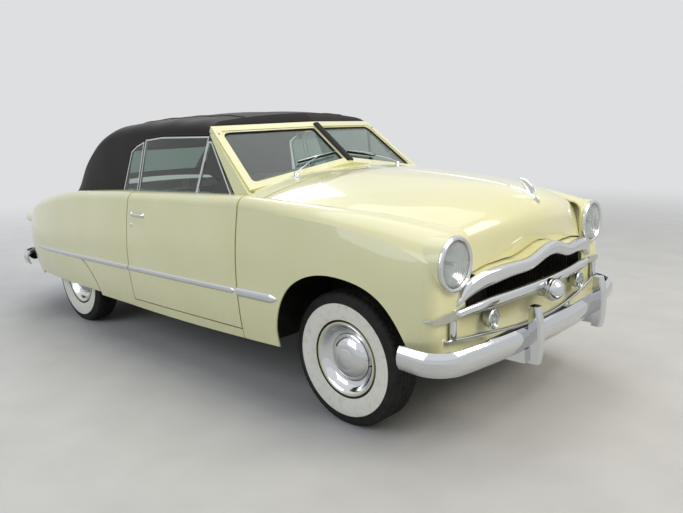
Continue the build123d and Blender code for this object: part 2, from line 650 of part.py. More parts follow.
half_w = tyre_w / 2
tyre_points = [(rim_r + fit_gap, -66), (rim_r + fit_gap, 66), (tyre_r - 26, 80), (tyre_r, 58), (tyre_r, -58), (tyre_r - 26, -80)]
tyre_arcs = {1: (264, half_w), 2: (tyre_r - 7, 72), 4: (tyre_r - 7, -72), 5: (264, -half_w)}
wheel_points = [(0, 74), (105, 44), (112, 30), (150, 22), (172, 60), (rim_r, 70), (rim_r, -70), (rim_r - 6, -70),
                (rim_r - 8, 48), (168, 44), (150, 12), (100, 12), (64, -4), (spindle_r + fit_gap, -4), (spindle_r + fit_gap, 26), (0, 26)]
wheel_arcs = {0: dome_mid((105, 44), 74)}
tyre = turned(tyre_points, tyre_arcs)
wheel = turned(wheel_points, wheel_arcs)
axle_places = {"front": front_axle_x, "rear": rear_axle_x}
for end, x in axle_places.items():
    for side, s in (("left", 1), ("right", -1)):
        place = Pos(x, s * track / 2, wheel_z)
        one_tyre, one_wheel = (tyre, wheel) if s > 0 else (mirror(tyre, about=Plane.XZ), mirror(wheel, about=Plane.XZ))
        save(f"tyre_{end}_{side}", place * one_tyre)
        save(f"wheel_{end}_{side}", place * one_wheel)

# Knuckles: king pin, spindle, drum plate and steering arm
kingpin_y = track / 2 - 83
drum_in_y = track / 2 - 71
kingpin_r = 13
kingpin = Pos(front_axle_x, kingpin_y, wheel_z) * Cylinder(kingpin_r, 250)
boss = Pos(front_axle_x, kingpin_y, wheel_z) * Cylinder(27, 150)
spindle = tube((front_axle_x, kingpin_y, wheel_z), (front_axle_x, track / 2 + 22, wheel_z), spindle_r)
drum = tube((front_axle_x, kingpin_y + 34, wheel_z), (front_axle_x, track / 2 - 8, wheel_z), 140)
arm = block(front_axle_x - 150, front_axle_x, kingpin_y - 30, kingpin_y - 12, wheel_z - 60, wheel_z - 36)
knuckle = fuse([kingpin, boss, spindle, drum, arm])
for side, piece in zip(("left", "right"), both(knuckle)):
    save(f"knuckle_{side}", piece)

# Front suspension: lower and upper arms with coil springs
arm_gap = 0.5


def wishbone(z, inner_y, spread, thick):
    eye = Pos(front_axle_x, kingpin_y, z) * (Cylinder(24, thick) - Cylinder(kingpin_r + arm_gap, thick))
    legs = []
    for s in (1, -1):
        root = Vector(front_axle_x + s * spread, inner_y, z)
        tip = Vector(front_axle_x + s * 10, kingpin_y - 26, z)
        legs.append(Plane(origin=root, x_dir=(tip - root), z_dir=(0, 0, 1)) * Pos((tip - root).length / 2, 0, 0)
                    * Box((tip - root).length + 14, 26, thick))
    pivot = tube((front_axle_x - spread - 20, inner_y, z), (front_axle_x + spread + 20, inner_y, z), thick / 2 + 4)
    return fuse([eye, *legs, pivot])


low_arm = wishbone(wheel_z - 98, rail_y1 + 22, 130, 24)
high_arm = wishbone(wheel_z + 98, rail_y1 + 40, 90, 20)
low_mount = block(front_axle_x - 110, front_axle_x + 110, rail_y1 - 60, rail_y1 + 18, wheel_z - 120, rail_top[0][1] - rail_h - fit_gap)
high_mount = block(front_axle_x - 80, front_axle_x + 80, rail_y1, rail_y1 + 36, wheel_z + 84, wheel_z + 112)
save("front_suspension", *both(low_arm + low_mount), *both(high_arm + high_mount))

# Rear axle, propeller shaft and leaf springs
axle_tube = tube((rear_axle_x, -track / 2 + 60, wheel_z), (rear_axle_x, track / 2 - 60, wheel_z), 38)
diff = Pos(rear_axle_x, 0, wheel_z) * Sphere(128)
prop = tube((rear_axle_x, 0, wheel_z), (gearbox_x - 3, 0, 411), 36)
drums = []
stubs = []
for s in (1, -1):
    drums.append(tube((rear_axle_x, s * drum_in_y, wheel_z), (rear_axle_x, s * (track / 2 - 8), wheel_z), 140))
    stubs.append(tube((rear_axle_x, s * drum_in_y, wheel_z), (rear_axle_x, s * (track / 2 + 22), wheel_z), spindle_r))
spring_y0, spring_y1 = 430, 480
leaf_top = [(-560, 352), (-900, 318), (rear_axle_x, wheel_z - 38), (-1560, 326), (-1860, 372)]
leaf = side_prism(leaf_top + [(x, z - 24) for x, z in reversed(leaf_top)], spring_y0, spring_y1)
hangers = [block(-590, -550, rail_y1, spring_y1, 310, 372), block(-1870, -1840, rail_y1, spring_y1, 352, 440)]
springs = both(fuse([leaf, *hangers]))
save("rear_axle", fuse([axle_tube, diff, prop, *drums, *stubs, *springs]))

# Exhaust and tank
pipe_z = 262
silencer = tube((300, -250, pipe_z), (-300, -250, pipe_z), 58)
front_pipe = tube((1000, -250, pipe_z), (300, -250, pipe_z), 22)
rear_pipe = tube((-300, -250, pipe_z), (-640, -250, pipe_z), 22)
pipe_straps = [block(x - 12, x + 12, -262, -238, pipe_z, floor_z) for x in (-240, 240)]
save("exhaust", fuse([silencer, front_pipe, rear_pipe, *pipe_straps]))
save("fuel_tank", block(-2230, -1760, -330, 330, 300, boot_z))

# Bumpers
bar_h, bar_t = 112, 26
bar_z = 505


def bumper(nose_x, knee, tip, end, z, droop, s):
    """Curved bar swept along half a bow, a corner and a side run, then mirrored."""
    low = z - droop
    bow_mid = (nose_x - (nose_x - knee[0]) * 0.25, knee[1] * 0.5, z - droop * 0.25)
    front = ThreePointArc((nose_x, 0, z), bow_mid, (*knee, low))
    corner = TangentArc((*knee, low), (*tip, low - droop * 0.1), tangent=front % 1)
    side = Line(corner @ 1, corner @ 1 + (corner % 1) * end)
    half_h = bar_h / 2
    outer = ThreePointArc((nose_x - 22, 0, z - half_h), (nose_x, 0, z), (nose_x - 22, 0, z + half_h))
    inner = ThreePointArc((nose_x - 30, 0, z + half_h), (nose_x - 10, 0, z), (nose_x - 30, 0, z - half_h))
    lips = [Line(outer @ 1, inner @ 0), Line(inner @ 1, outer @ 0)]
    bar = sweep(Face(Wire([outer, lips[0], inner, lips[1]])), path=Wire([front, corner, side]))
    if s < 0:
        bar = mirror(bar, about=Plane.YZ)
    return fuse(both(bar))


def guard(x, y, z0, z1, s):
    """Upright bumper guard, bowed in the side view, with its front edges rounded."""
    zm = (z0 + z1) / 2
    front = ThreePointArc((x - s * 20, y - guard_half, z1), (x, y - guard_half, zm), (x - s * 12, y - guard_half, z0))
    back = Polyline(front @ 1, (x - s * 62, y - guard_half, z0), (x - s * 62, y - guard_half, z1), front @ 0)
    face = Face(Wire([front, *back.edges()]))
    post = Solid.extrude(face, Vector(0, 2 * guard_half, 0))
    long_edges = [e for e in post.edges() if e.geom_type == GeomType.CIRCLE]
    return post.fillet(guard_round, long_edges)


guard_half = 25
guard_round = 16
guard_y = 350


front_bar = bumper(2468, (2373, 771), (2189, 915), 86, bar_z, 20, 1)
front_guard = guard(bumper_front_x, guard_y, 385, 655, 1)
front_iron = block(2180, 2436, rail_y0 + 10, rail_y1 - 10, 390, 455)
save("front_bumper", fuse([front_bar, *both(front_guard), *both(front_iron)]))
rear_bar = bumper(2472, (2400, 668), (2226, 812), 60, 400, 0, -1)
rear_guard = guard(bumper_rear_x, guard_y, 312, 548, -1)
rear_iron = block(-2446, -2330, rail_y0 + 10, rail_y1 - 10, 364, 414)
save("rear_bumper", fuse([rear_bar, *both(rear_guard), *both(rear_iron)]))

# Grille: surround, bar with spinner, lamps
moulding = bow_plate(2374, 2262, 680, 2344, 610, 600, 1000) & front_band(MOULDING)
posts = block(nose_wall_x, nose_wall_x + 32, 706, 744, 563, 636)
lower = bow_plate(2338, 2264, 770, 2318, 700, 400, 700) & front_band(LOWER)
save("grille_surround", moulding, *both(posts), lower)
bar_plate = bow_plate(2350, 2260, 690, 2306, 600, 500, 800) & front_band(BAR)
spinner_r = 58
spinner_at = (2368, 0, 644)
boss = tube((2310, 0, 668), (2372, 0, 650), 44)
save("grille_bar", fuse([bar_plate, boss, Pos(*spinner_at) * Sphere(spinner_r)]))
lamp_plan = [(2225, 690.3), (2261, 690.3), (2267, 750), (2262, 806), (2248, 842), (2230, 858), (2200, 862),
             (2200, 780), (2225, 700)]
lamp_front = [(690, 676), (800, 675), (845, 667), (864, 656), (845, 647), (800, 641), (690, 638)]
lamp_face = Face(Wire.make_polygon([(2150, y, z) for y, z in lamp_front], close=True))
parking = (plan_prism(lamp_plan, 600, 700) & Solid.extrude(lamp_face, Vector(200, 0, 0))) - front_out
save("parking_lamps", *both(parking))
fog_points = [(0, 0), (20, 0), (36, 18), (45, 46), (48, 48), (48, 58), (43, 62), (0, 74)]
fog = turned(fog_points, {6: dome_mid((43, 62), 74)})
fog = Pos(nose_wall_x, 455, 590) * Rot(0, 0, -90) * fog
save("fog_lamps", *both(fog))
tail_lamp = tube((-2080, 716, 742), (-2360, 668, 736), 38) - rear_out
save("tail_lamps", *both(tail_lamp))
dart = [(2110, 1110), (2110, 1148), (2190, 1176), (2262, 1194), (2288, 1184), (2282, 1150), (2262, 1080)]
ornament = side_prism(dart, -13, 13) - hood
save("hood_ornament", max(ornament.solids(), key=lambda piece: piece.volume))

# Cabin
seat_notch = block(-600, 200, -tunnel_w / 2 - 10, tunnel_w / 2 + 10, 370, floor_z + tunnel_h + 8)
seat_round = 34
cushion = rounded(block(-420, 120, -640, 640, 450, 640), seat_round) - seat_notch
runners = [block(-400, 100, y, y + 40, floor_z + floor_t, 450) for y in (-400, 360)]
save("front_seat", fuse([cushion, *runners]), rounded(block(-560, -420.5, -640, 640, 530, 1010), seat_round))
rear_back = rounded(block(-1240, -1120.5, -545, 545, 620.5, 1000), seat_round)
save("rear_seat", rounded(block(-1120, -780, -545, 545, 620.5, 740), seat_round), rear_back)
dash = block(850, 960, -700, 700, 900, 1100)
dash_edges = [e for e in dash.edges().filter_by(Axis.Y) if e.center().X < 860]
save("dashboard", dash.fillet(38, dash_edges))
column_start = (1059.5, 370, 689)
column_end = (450, 370, 962)
save("steering_column", tube(column_start, column_end, 24))
axis = (Vector(*column_end) - Vector(*column_start)).normalized()
wheel_plane = Plane(origin=Vector(*column_end) + axis * 12.3, z_dir=axis)
rim = wheel_plane * Torus(210, 11)
hub = wheel_plane * Cylinder(30, 24)
spokes = [wheel_plane * Rot(0, 0, a) * Pos(105, 0, 0) * Box(200, 16, 8) for a in (90, 210, 330)]
save("steering_wheel", fuse([rim, hub, *spokes]))
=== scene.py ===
import math
import bmesh
import bpy
import numpy as np
from mathutils import Matrix, Vector


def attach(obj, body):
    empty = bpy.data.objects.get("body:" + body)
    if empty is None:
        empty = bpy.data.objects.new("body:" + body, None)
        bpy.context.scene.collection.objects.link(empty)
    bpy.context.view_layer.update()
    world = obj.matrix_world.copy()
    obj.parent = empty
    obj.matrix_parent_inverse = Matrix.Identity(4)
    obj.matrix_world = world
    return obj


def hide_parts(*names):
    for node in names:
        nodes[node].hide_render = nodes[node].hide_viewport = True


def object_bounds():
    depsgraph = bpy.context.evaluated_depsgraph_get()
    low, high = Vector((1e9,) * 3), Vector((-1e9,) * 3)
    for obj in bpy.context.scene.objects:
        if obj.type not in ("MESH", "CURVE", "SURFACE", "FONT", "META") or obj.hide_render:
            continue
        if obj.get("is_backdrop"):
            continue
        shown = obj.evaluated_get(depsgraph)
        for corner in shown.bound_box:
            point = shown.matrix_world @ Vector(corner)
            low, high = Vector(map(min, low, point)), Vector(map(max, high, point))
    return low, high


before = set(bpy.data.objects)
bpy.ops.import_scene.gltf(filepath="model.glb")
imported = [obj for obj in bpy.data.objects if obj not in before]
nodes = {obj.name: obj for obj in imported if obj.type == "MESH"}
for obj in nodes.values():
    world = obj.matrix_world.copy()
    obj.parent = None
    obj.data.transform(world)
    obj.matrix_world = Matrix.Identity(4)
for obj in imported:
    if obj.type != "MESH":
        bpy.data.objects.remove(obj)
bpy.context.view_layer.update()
print("frame in place:", len(nodes), "CAD nodes")

mm = 0.001
sides = {"left": 1, "right": -1}
xAxis, yAxis, zAxis = np.eye(3)
fullTurn = 2 * math.pi
pin = 0.0001  # radius of a profile's points on its axis


def hexToLinear(code):
    # sRGB to linear: c / 12.92 below 0.04045, else ((c + 0.055) / 1.055) ^ 2.4
    c = np.array([int(code[i:i + 2], 16) for i in (1, 3, 5)]) / 255.0
    linear = np.where(c <= 0.04045, c / 12.92, ((c + 0.055) / 1.055) ** 2.4)
    return (*[float(v) for v in linear], 1.0)


def addNode(tree, kind, values=None, links=None, stops=None, **settings):
    # one node: settings are its attributes, values go to sockets, links come from other nodes
    node = tree.nodes.new(kind)
    for key, value in settings.items():
        setattr(node, key, value)
    for key, value in (values or {}).items():
        node.inputs[key].default_value = value
    for key, source in (links or {}).items():
        tree.links.new(source, node.inputs[key])
    for i, (place, code) in enumerate(stops or []):
        ramp = node.color_ramp.elements
        stop = ramp[i] if i < 2 else ramp.new(place)
        stop.position, stop.color = place, hexToLinear(code)
    return node


def newMaterial(name, code, roughness, sockets=None):
    # a Principled material whose constant numbers sit on the shader's own sockets, and its skin: tree, shader, place
    mat = bpy.data.materials.new(name)
    mat.use_nodes = True
    shader = mat.node_tree.nodes["Principled BSDF"]
    shader.inputs["Base Color"].default_value = hexToLinear(code)
    shader.inputs["Roughness"].default_value = roughness
    for key, value in (sockets or {}).items():
        shader.inputs[key].default_value = value
    mat.diffuse_color = hexToLinear(code)
    place = addNode(mat.node_tree, "ShaderNodeTexCoord").outputs["Object"]
    return mat, (mat.node_tree, shader, place)


def texture(skin, kind, values, **settings):
    # a texture's factor over object coordinates; cells give the distance to their middle instead
    node = addNode(skin[0], "ShaderNodeTex" + kind, values, {"Vector": skin[2]}, **settings)
    return node.outputs["Distance" if kind == "Voronoi" else "Fac"]


def colourBy(skin, source, *stops):
    # base colour ramped over a texture
    ramp = addNode(skin[0], "ShaderNodeValToRGB", links={"Fac": source}, stops=stops)
    skin[0].links.new(ramp.outputs["Color"], skin[1].inputs["Base Color"])


def liftBy(skin, source, strength, distance, **settings):
    # bump over a texture
    values = {"Strength": strength, "Distance": distance}
    bump = addNode(skin[0], "ShaderNodeBump", values, {"Height": source}, **settings)
    skin[0].links.new(bump.outputs["Normal"], skin[1].inputs["Normal"])


def blurBy(skin, source, values):
    # roughness over a texture
    blur = addNode(skin[0], "ShaderNodeMapRange", values, {"Value": source})
    skin[0].links.new(blur.outputs["Result"], skin[1].inputs["Roughness"])


def arc(a, m, b, count):
    # circle through three points of a plane: centre from the two perpendicular bisectors, then equal angles a to b
    a, m, b = (np.array(p, float) for p in (a, m, b))
    left = 2 * np.array([m - a, b - a])
    right = np.array([m @ m - a @ a, b @ b - a @ a])
    c = np.linalg.solve(left, right)
    angles = [math.atan2(*(p - c)[::-1]) for p in (a, m, b)]
    turn = (angles[2] - angles[0]) % fullTurn
    if (angles[1] - angles[0]) % fullTurn > turn:
        turn -= fullTurn
    t = angles[0] + turn * np.linspace(0, 1, count)
    return c + np.linalg.norm(a - c) * np.stack([np.cos(t), np.sin(t)], 1)


def chain(*runs):
    # runs of points joined into one line, leaving out repeated ends
    out = [np.array(runs[0], float)]
    for run in runs[1:]:
        run = np.array(run, float)
        out.append(run[1:] if np.allclose(out[-1][-1], run[0]) else run)
    return np.concatenate(out)


def spread(points, count):
    # Catmull-Rom curve through the points, then count points at equal steps of its length
    p = np.array(points, float)
    p = np.vstack([2 * p[0] - p[1], p, 2 * p[-1] - p[-2]])
    t = np.linspace(0, 1, 24, endpoint=False)[:, None]
    runs = []
    for i in range(len(p) - 3):
        a, b, c, d = p[i:i + 4]
        square, cube = 2 * a - 5 * b + 4 * c - d, 3 * b - a - 3 * c + d
        runs.append(0.5 * (2 * b + (c - a) * t + square * t ** 2 + cube * t ** 3))
    line = np.vstack([*runs, p[-2:-1]])
    step = np.r_[0, np.cumsum(np.linalg.norm(np.diff(line, axis=0), axis=1))]
    at = np.linspace(0, step[-1], count)
    return np.stack([np.interp(at, step, line[:, k]) for k in range(line.shape[1])], 1)


def turns(count):
    # equal angles round a circle, without the repeated last one
    return np.linspace(0, fullTurn, count, endpoint=False)


def circle(radius, count, squash=1.0):
    # closed profile: (r cos t, r squash sin t)
    t = turns(count)
    return np.stack([radius * np.cos(t), radius * squash * np.sin(t)], 1)


def sweep(path, normals, profile, scale=None):
    # point(i, j) = path(i) + s(i) (across(j) side(i) + out(j) normal(i)), with side = tangent x normal
    path = np.array(path, float)
    tangent = np.gradient(path, axis=0)
    tangent /= np.linalg.norm(tangent, axis=1)[:, None]
    normal = np.broadcast_to(np.array(normals, float), path.shape).copy()
    normal -= (normal * tangent).sum(1)[:, None] * tangent
    normal /= np.linalg.norm(normal, axis=1)[:, None]
    side = np.cross(tangent, normal)
    s = np.ones(len(path)) if scale is None else np.array(scale, float)
    flat = np.array(profile, float)[None] * (s[:, None, None] if s.ndim == 1 else s[:, None, :])
    return path[:, None] + flat[:, :, :1] * side[:, None] + flat[:, :, 1:] * normal[:, None]


def turned(profile, centre, axis, count):
    # surface of revolution: centre + along(j) axis + radius(j) (cos t e1 + sin t e2)
    axis = np.array(axis, float) / np.linalg.norm(axis)
    e1 = np.cross(axis, zAxis if abs(axis[2]) < 0.9 else xAxis)
    e1 /= np.linalg.norm(e1)
    e2 = np.cross(axis, e1)
    t = turns(count)
    ring = np.cos(t)[:, None] * e1 + np.sin(t)[:, None] * e2
    profile = np.array(profile, float)
    return np.array(centre, float) + profile[None, :, 1:] * axis + profile[None, :, :1] * ring[:, None]


def piece(name, grids, mats, body="body", wrapU=False, wrapV=True, marks=None, sharp=35, shut=True):
    # quads between neighbours of each grid (u, v, 3) and a face over each open end; doubles merged, normals outward
    grids = grids if isinstance(grids, list) else [grids]
    mats = mats if isinstance(mats, list) else [mats]
    verts, faces, index, start = [], [], [], 0
    for g in grids:
        n, m = g.shape[:2]
        at = start + np.arange(n * m).reshape(n, m)
        rows = np.vstack([at, at[:1]]) if wrapU else at
        full = np.hstack([rows, rows[:, :1]]) if wrapV else rows
        quads = np.stack([full[:-1, :-1], full[1:, :-1], full[1:, 1:], full[:-1, 1:]], -1)
        mark = np.broadcast_to(0 if marks is None else marks, quads.shape[:2]).ravel()
        faces += quads.reshape(-1, 4).tolist()
        index += mark.tolist()
        if wrapV and not wrapU:
            faces += [at[0, ::-1].tolist(), at[-1].tolist()]
            index += [int(mark[0]), int(mark[-1])]
        verts.append(g.reshape(-1, 3))
        start += n * m
    mesh = bpy.data.meshes.new(name)
    mesh.from_pydata(np.concatenate(verts).tolist(), [], faces)
    for mat in mats:
        mesh.materials.append(mat)
    mesh.polygons.foreach_set("material_index", index)
    mesh.polygons.foreach_set("use_smooth", [True] * len(faces))
    bm = bmesh.new()
    bm.from_mesh(mesh)
    bmesh.ops.remove_doubles(bm, verts=bm.verts, dist=1e-6)
    if shut:
        bmesh.ops.recalc_face_normals(bm, faces=bm.faces)
    bm.to_mesh(mesh)
    bm.free()
    mesh.set_sharp_from_angle(angle=math.radians(sharp))
    obj = bpy.data.objects.new(name, mesh)
    bpy.context.scene.collection.objects.link(obj)
    if body:
        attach(obj, body)
    return obj


def lathe(name, profile, centre, axis, count, mat, body="body", ring=False, sharp=50):
    # turned piece, as a ring closed along its profile or else with a profile from axis to axis
    return piece(name, turned(profile, centre, axis, count), mat, body, wrapU=True, wrapV=ring, sharp=sharp)


def perPoint(mesh, what):
    # one vector per vertex, (count, 3)
    out = np.empty(len(mesh.vertices) * 3, np.float32)
    mesh.vertices.foreach_get(what, out)
    return out.reshape(-1, 3)


triangleCache = {}


def cadTriangles(name):
    # corner points of a CAD node's triangles, (count, 3, 3)
    if name not in triangleCache:
        mesh = nodes[name].data
        mesh.calc_loop_triangles()
        at = np.empty(len(mesh.loop_triangles) * 3, np.int32)
        mesh.loop_triangles.foreach_get("vertices", at)
        triangleCache[name] = perPoint(mesh, "co")[at].reshape(-1, 3, 3).astype(float)
    return triangleCache[name]


def onPanel(names, origins, direction):
    # where rays meet the panels: the Moller-Trumbore test for all rays and triangles at once, nearest hit kept
    tri = np.concatenate([cadTriangles(n) for n in names])
    a, e1, e2 = tri[:, 0], tri[:, 1] - tri[:, 0], tri[:, 2] - tri[:, 0]
    d = np.array(direction, float)
    origins = np.array(origins, float)
    p = np.cross(d, e2)
    det = (e1 * p).sum(1)
    det = np.where(np.abs(det) < 1e-14, np.nan, det)
    s = origins[:, None] - a[None]
    q = np.cross(s, e1[None])
    u, v, t = (s * p).sum(-1) / det, (q @ d) / det, (q * e2).sum(-1) / det
    slack = 1e-5
    with np.errstate(invalid="ignore"):
        good = (u > -slack) & (v > -slack) & (u + v < 1 + slack) & (t > 0)
    best = np.where(good, t, np.inf).min(1)
    found = np.isfinite(best)
    return origins + np.where(found, best, 0)[:, None] * d, found


def sideLine(names, x, z, s):
    # points of a line along the car's side, y from the panels and smoothed by a polynomial in x
    x, z = np.broadcast_arrays(np.array(x, float), np.array(z, float))
    hits, found = onPanel(names, np.stack([x, np.full_like(x, 2.0 * s), z], 1), (0, -s, 0))
    y = np.polyval(np.polyfit(x[found], hits[found, 1], 4), x)
    return np.stack([x, y, z], 1)


def hoodLine(x, degree):
    # points down the hood's middle, z from the hood and smoothed by a polynomial in x
    hits, found = onPanel(["hood"], np.stack([x, 0 * x, 0 * x + 1.6], 1), (0, 0, -1))
    return np.polyval(np.polyfit(x[found], hits[found, 2], degree), x)


# cream enamel, sprayed and polished: a pale yellow with a wet gloss, faint orange peel about 3 mm a cell, and a
# darker khaki tint mixed in speckled patches towards the bottom
paint, skin = newMaterial("creamEnamel", "#E9E7B4", 0.32, {"Coat Weight": 1.0, "Coat Roughness": 0.03, "Coat IOR": 1.5})
tree, shader, place = skin
cloud = texture(skin, "Noise", {"Scale": 2.2, "Detail": 3.0})
tone = addNode(tree, "ShaderNodeValToRGB", links={"Fac": cloud}, stops=[(0.3, "#E5E3AE"), (0.7, "#ECEABA")])
height = addNode(tree, "ShaderNodeSeparateXYZ", links={"Vector": place})
# mask and tint: darker khaki mixed in speckled patches, growing from a height of 0.62 m down to 0.30 m
lowSpeckle = texture(skin, "Noise", {"Scale": 18.0, "Detail": 8.0, "Roughness": 0.7})
low = addNode(tree, "ShaderNodeMapRange", {"From Min": 0.62, "From Max": 0.30, "To Min": 0.0, "To Max": 0.34},
              {"Value": height.outputs["Z"]})
lowShare = addNode(tree, "ShaderNodeMath", links={0: low.outputs["Result"], 1: lowSpeckle}, operation="MULTIPLY")
lowTint = addNode(tree, "ShaderNodeMixRGB", {"Color2": hexToLinear("#9C9372")},
               {"Fac": lowShare.outputs["Value"], "Color1": tone.outputs["Color"]})
tree.links.new(lowTint.outputs["Color"], shader.inputs["Base Color"])
liftBy(skin, texture(skin, "Noise", {"Scale": 330.0, "Detail": 1.0}), 0.04, 0.0006)

# chromium plate on steel: a mirror with faint swirls from polishing
chrome, skin = newMaterial("chromePlate", "#D4D6D8", 0.07, {"Metallic": 1.0})
swirls = texture(skin, "Noise", {"Scale": 40.0, "Detail": 5.0, "Distortion": 1.5})
blurBy(skin, swirls, {"To Min": 0.035, "To Max": 0.13})

# black natural rubber, moulded: dull and slightly dusty
rubber, skin = newMaterial("blackRubber", "#141413", 0.72, {"Specular IOR Level": 0.35})
colourBy(skin, texture(skin, "Noise", {"Scale": 25.0, "Detail": 6.0}), (0.35, "#0F0F0F"), (0.75, "#24231F"))
liftBy(skin, texture(skin, "Noise", {"Scale": 900.0}), 0.15, 0.0005)

# white sidewall rubber: chalky, with faint scuffs
whiteRubber, skin = newMaterial("whiteRubber", "#EFEEE2", 0.55, {"Specular IOR Level": 0.4})
scuffs = texture(skin, "Noise", {"Scale": 30.0, "Detail": 7.0, "Roughness": 0.65})
colourBy(skin, scuffs, (0.25, "#D9D6C6"), (0.5, "#F0EFE4"))
liftBy(skin, scuffs, 0.1, 0.0005)

# laminated window glass, floated: faint green body colour and wiper haze
glass, skin = newMaterial("windowGlass", "#A9BAB2", 0.0, {"Transmission Weight": 1.0, "IOR": 1.5})
blurBy(skin, texture(skin, "Noise", {"Scale": 6.0, "Detail": 4.0}), {"From Min": 0.4, "To Min": 0.0, "To Max": 0.03})

# pressed lens glass: upright flutes, drawn 9 mm apart
lens, skin = newMaterial("pressedLensGlass", "#EEF3F2", 0.02, {"Transmission Weight": 0.85, "IOR": 1.5})
liftBy(skin, texture(skin, "Wave", {"Scale": 17.6, "Distortion": 0.0}, bands_direction="Y"), 0.5, 0.002)

# red signal lens, moulded acrylic with cross ribs
redLens, skin = newMaterial("redSignalLens", "#8E0E12", 0.12, {
    "Transmission Weight": 0.3, "IOR": 1.49, "Coat Weight": 0.6})
liftBy(skin, texture(skin, "Wave", {"Scale": 30.0}, bands_direction="Z"), 0.4, 0.001)

# frosted parking lens: milky pressed glass
milkLens, skin = newMaterial("frostedLens", "#D6D8CF", 0.28, {"Transmission Weight": 0.35, "IOR": 1.5})
liftBy(skin, texture(skin, "Wave", {"Scale": 40.0}, bands_direction="X"), 0.3, 0.001)

# black-maroon top cloth, twill woven: threads about 0.8 mm apart, drawn at 2.4 mm so that they show
topCloth, skin = newMaterial("wovenTopCloth", "#100A0A", 0.85, {"Sheen Weight": 0.1, "Sheen Roughness": 0.4})
warp, weft = (texture(skin, "Wave", {"Scale": 66.0, "Distortion": 0.4}, bands_direction=d) for d in ("DIAGONAL", "Y"))
weave = addNode(skin[0], "ShaderNodeMath", links={0: warp, 1: weft}, operation="MULTIPLY")
colourBy(skin, texture(skin, "Noise", {"Scale": 3.5, "Detail": 6.0}), (0.3, "#090606"), (0.7, "#170D0D"))
liftBy(skin, weave.outputs["Value"], 0.35, 0.0012)

# dark red leather, dyed and grained: pores about 1.5 mm
leather, skin = newMaterial("redLeather", "#5E1416", 0.42, {"Specular IOR Level": 0.5})
colourBy(skin, texture(skin, "Noise", {"Scale": 5.0, "Detail": 5.0}), (0.3, "#4C0F12"), (0.72, "#741C1D"))
liftBy(skin, texture(skin, "Voronoi", {"Scale": 420.0}), 0.3, 0.0006)

# looped wool carpet, dark brown red, with painted shade in the hollows between the loops
carpet, skin = newMaterial("woolCarpet", "#2B1512", 0.95, {"Sheen Weight": 0.4})
tufts = texture(skin, "Voronoi", {"Scale": 240.0})
# painted shade: each loop lighter at its middle, darker towards the hollows around it
colourBy(skin, tufts, (0.0, "#3A1D18"), (0.6, "#170A09"))
liftBy(skin, tufts, 0.7, 0.004, invert=True)

# ivory hard plastic, moulded and yellowed
ivory, skin = newMaterial("ivoryPlastic", "#D8CFAE", 0.28, {"Coat Weight": 0.3})
colourBy(skin, texture(skin, "Noise", {"Scale": 9.0, "Detail": 5.0}), (0.3, "#CDBF93"), (0.7, "#DED7BC"))

# black chassis enamel, brushed on: satin, under a film of road dust
chassisBlack, skin = newMaterial("chassisEnamel", "#121212", 0.5)
film = texture(skin, "Noise", {"Scale": 14.0, "Detail": 8.0, "Roughness": 0.7})
colourBy(skin, film, (0.4, "#0E0E0E"), (0.8, "#332E27"))
liftBy(skin, film, 0.2, 0.001)

# cast iron and forged steel, oiled: dark grey with rust bloom
iron, skin = newMaterial("castIron", "#2E2F31", 0.6, {"Metallic": 0.6})
rust = texture(skin, "Noise", {"Scale": 22.0, "Detail": 9.0, "Roughness": 0.7})
colourBy(skin, rust, (0.45, "#303236"), (0.75, "#4A3427"))
liftBy(skin, rust, 0.35, 0.0015)

# engine enamel, grey green under a film of oil
engineEnamel, skin = newMaterial("engineEnamel", "#3B4A48", 0.45)
colourBy(skin, texture(skin, "Noise", {"Scale": 10.0, "Detail": 8.0}), (0.35, "#2A3432"), (0.7, "#46574F"))

finishes = {
    paint: "hood cowl front_fender_left front_fender_right front_valance door_left door_right rocker_panels "
           "quarter_panel_left quarter_panel_right fender_skirts tail_panel deck_lid hinge_pillars dashboard "
           "steering_column",
    chrome: "front_bumper rear_bumper grille_bar grille_surround hood_ornament window_frames_left "
            "window_frames_right quarter_frames fog_lamps wheel_front_left wheel_front_right wheel_rear_left "
            "wheel_rear_right",
    rubber: "tyre_front_left tyre_front_right tyre_rear_left tyre_rear_right",
    glass: "windshield_glass door_glass_left door_glass_right quarter_glass rear_window",
    lens: "headlamps",
    redLens: "tail_lamps",
    milkLens: "parking_lamps",
    topCloth: "soft_top",
    leather: "front_seat rear_seat",
    carpet: "floor_pan tunnel_cover",
    ivory: "steering_wheel",
    engineEnamel: "engine_block",
    iron: "exhaust knuckle_left knuckle_right",
    chassisBlack: "chassis_frame front_suspension rear_axle fuel_tank radiator inner_panels boot_floor wheelhouses",
}
for mat, names in finishes.items():
    for name in names.split():
        nodes[name].data.materials.clear()
        nodes[name].data.materials.append(mat)
print("materials mixed:", len(bpy.data.materials))

# tyres: white band on the outer wall, zigzag tread with notched shoulders
tyre = {
    "axleX": {"front": 1.672, "rear": -1.224}, "sideY": 0.711, "height": 0.344, "radius": 0.3436, "bead": 0.1903,
    # radius and side of points on the wall and the shoulder
    "wall": ((0.1903, 0.066), (0.264, 0.0905), (0.318, 0.0795)), "shoulder": ((0.318, 0.0795), (0.337, 0.0715)),
    "beadAt": (-0.04, 0.0, 0.04), "flush": 0.0006, "outerFrom": 0.05,
    "white": (0.203, 0.287), "ribs": (-0.036, -0.012, 0.012, 0.036), "grooveHalf": 0.0028, "grooveDepth": 0.007,
    "zigzag": 0.0045, "zigzags": 60, "around": 360, "treadHalf": 0.058, "notchAt": 0.062, "notchHalf": 0.012,
    "notchFrom": 0.325, "notchDepth": 0.004,
}
wall = arc(*tyre["wall"], 22)
shoulder = arc(*tyre["shoulder"], (tyre["radius"], tyre["treadHalf"]), 7)
tread = np.stack([np.full(49, tyre["radius"]), np.linspace(tyre["treadHalf"], -tyre["treadHalf"], 49)], 1)
half = chain(wall, shoulder)
outline = np.vstack([chain(half, tread, half[::-1] * [1, -1]), [[tyre["bead"], y] for y in tyre["beadAt"]]])
ringAngle = turns(tyre["around"])
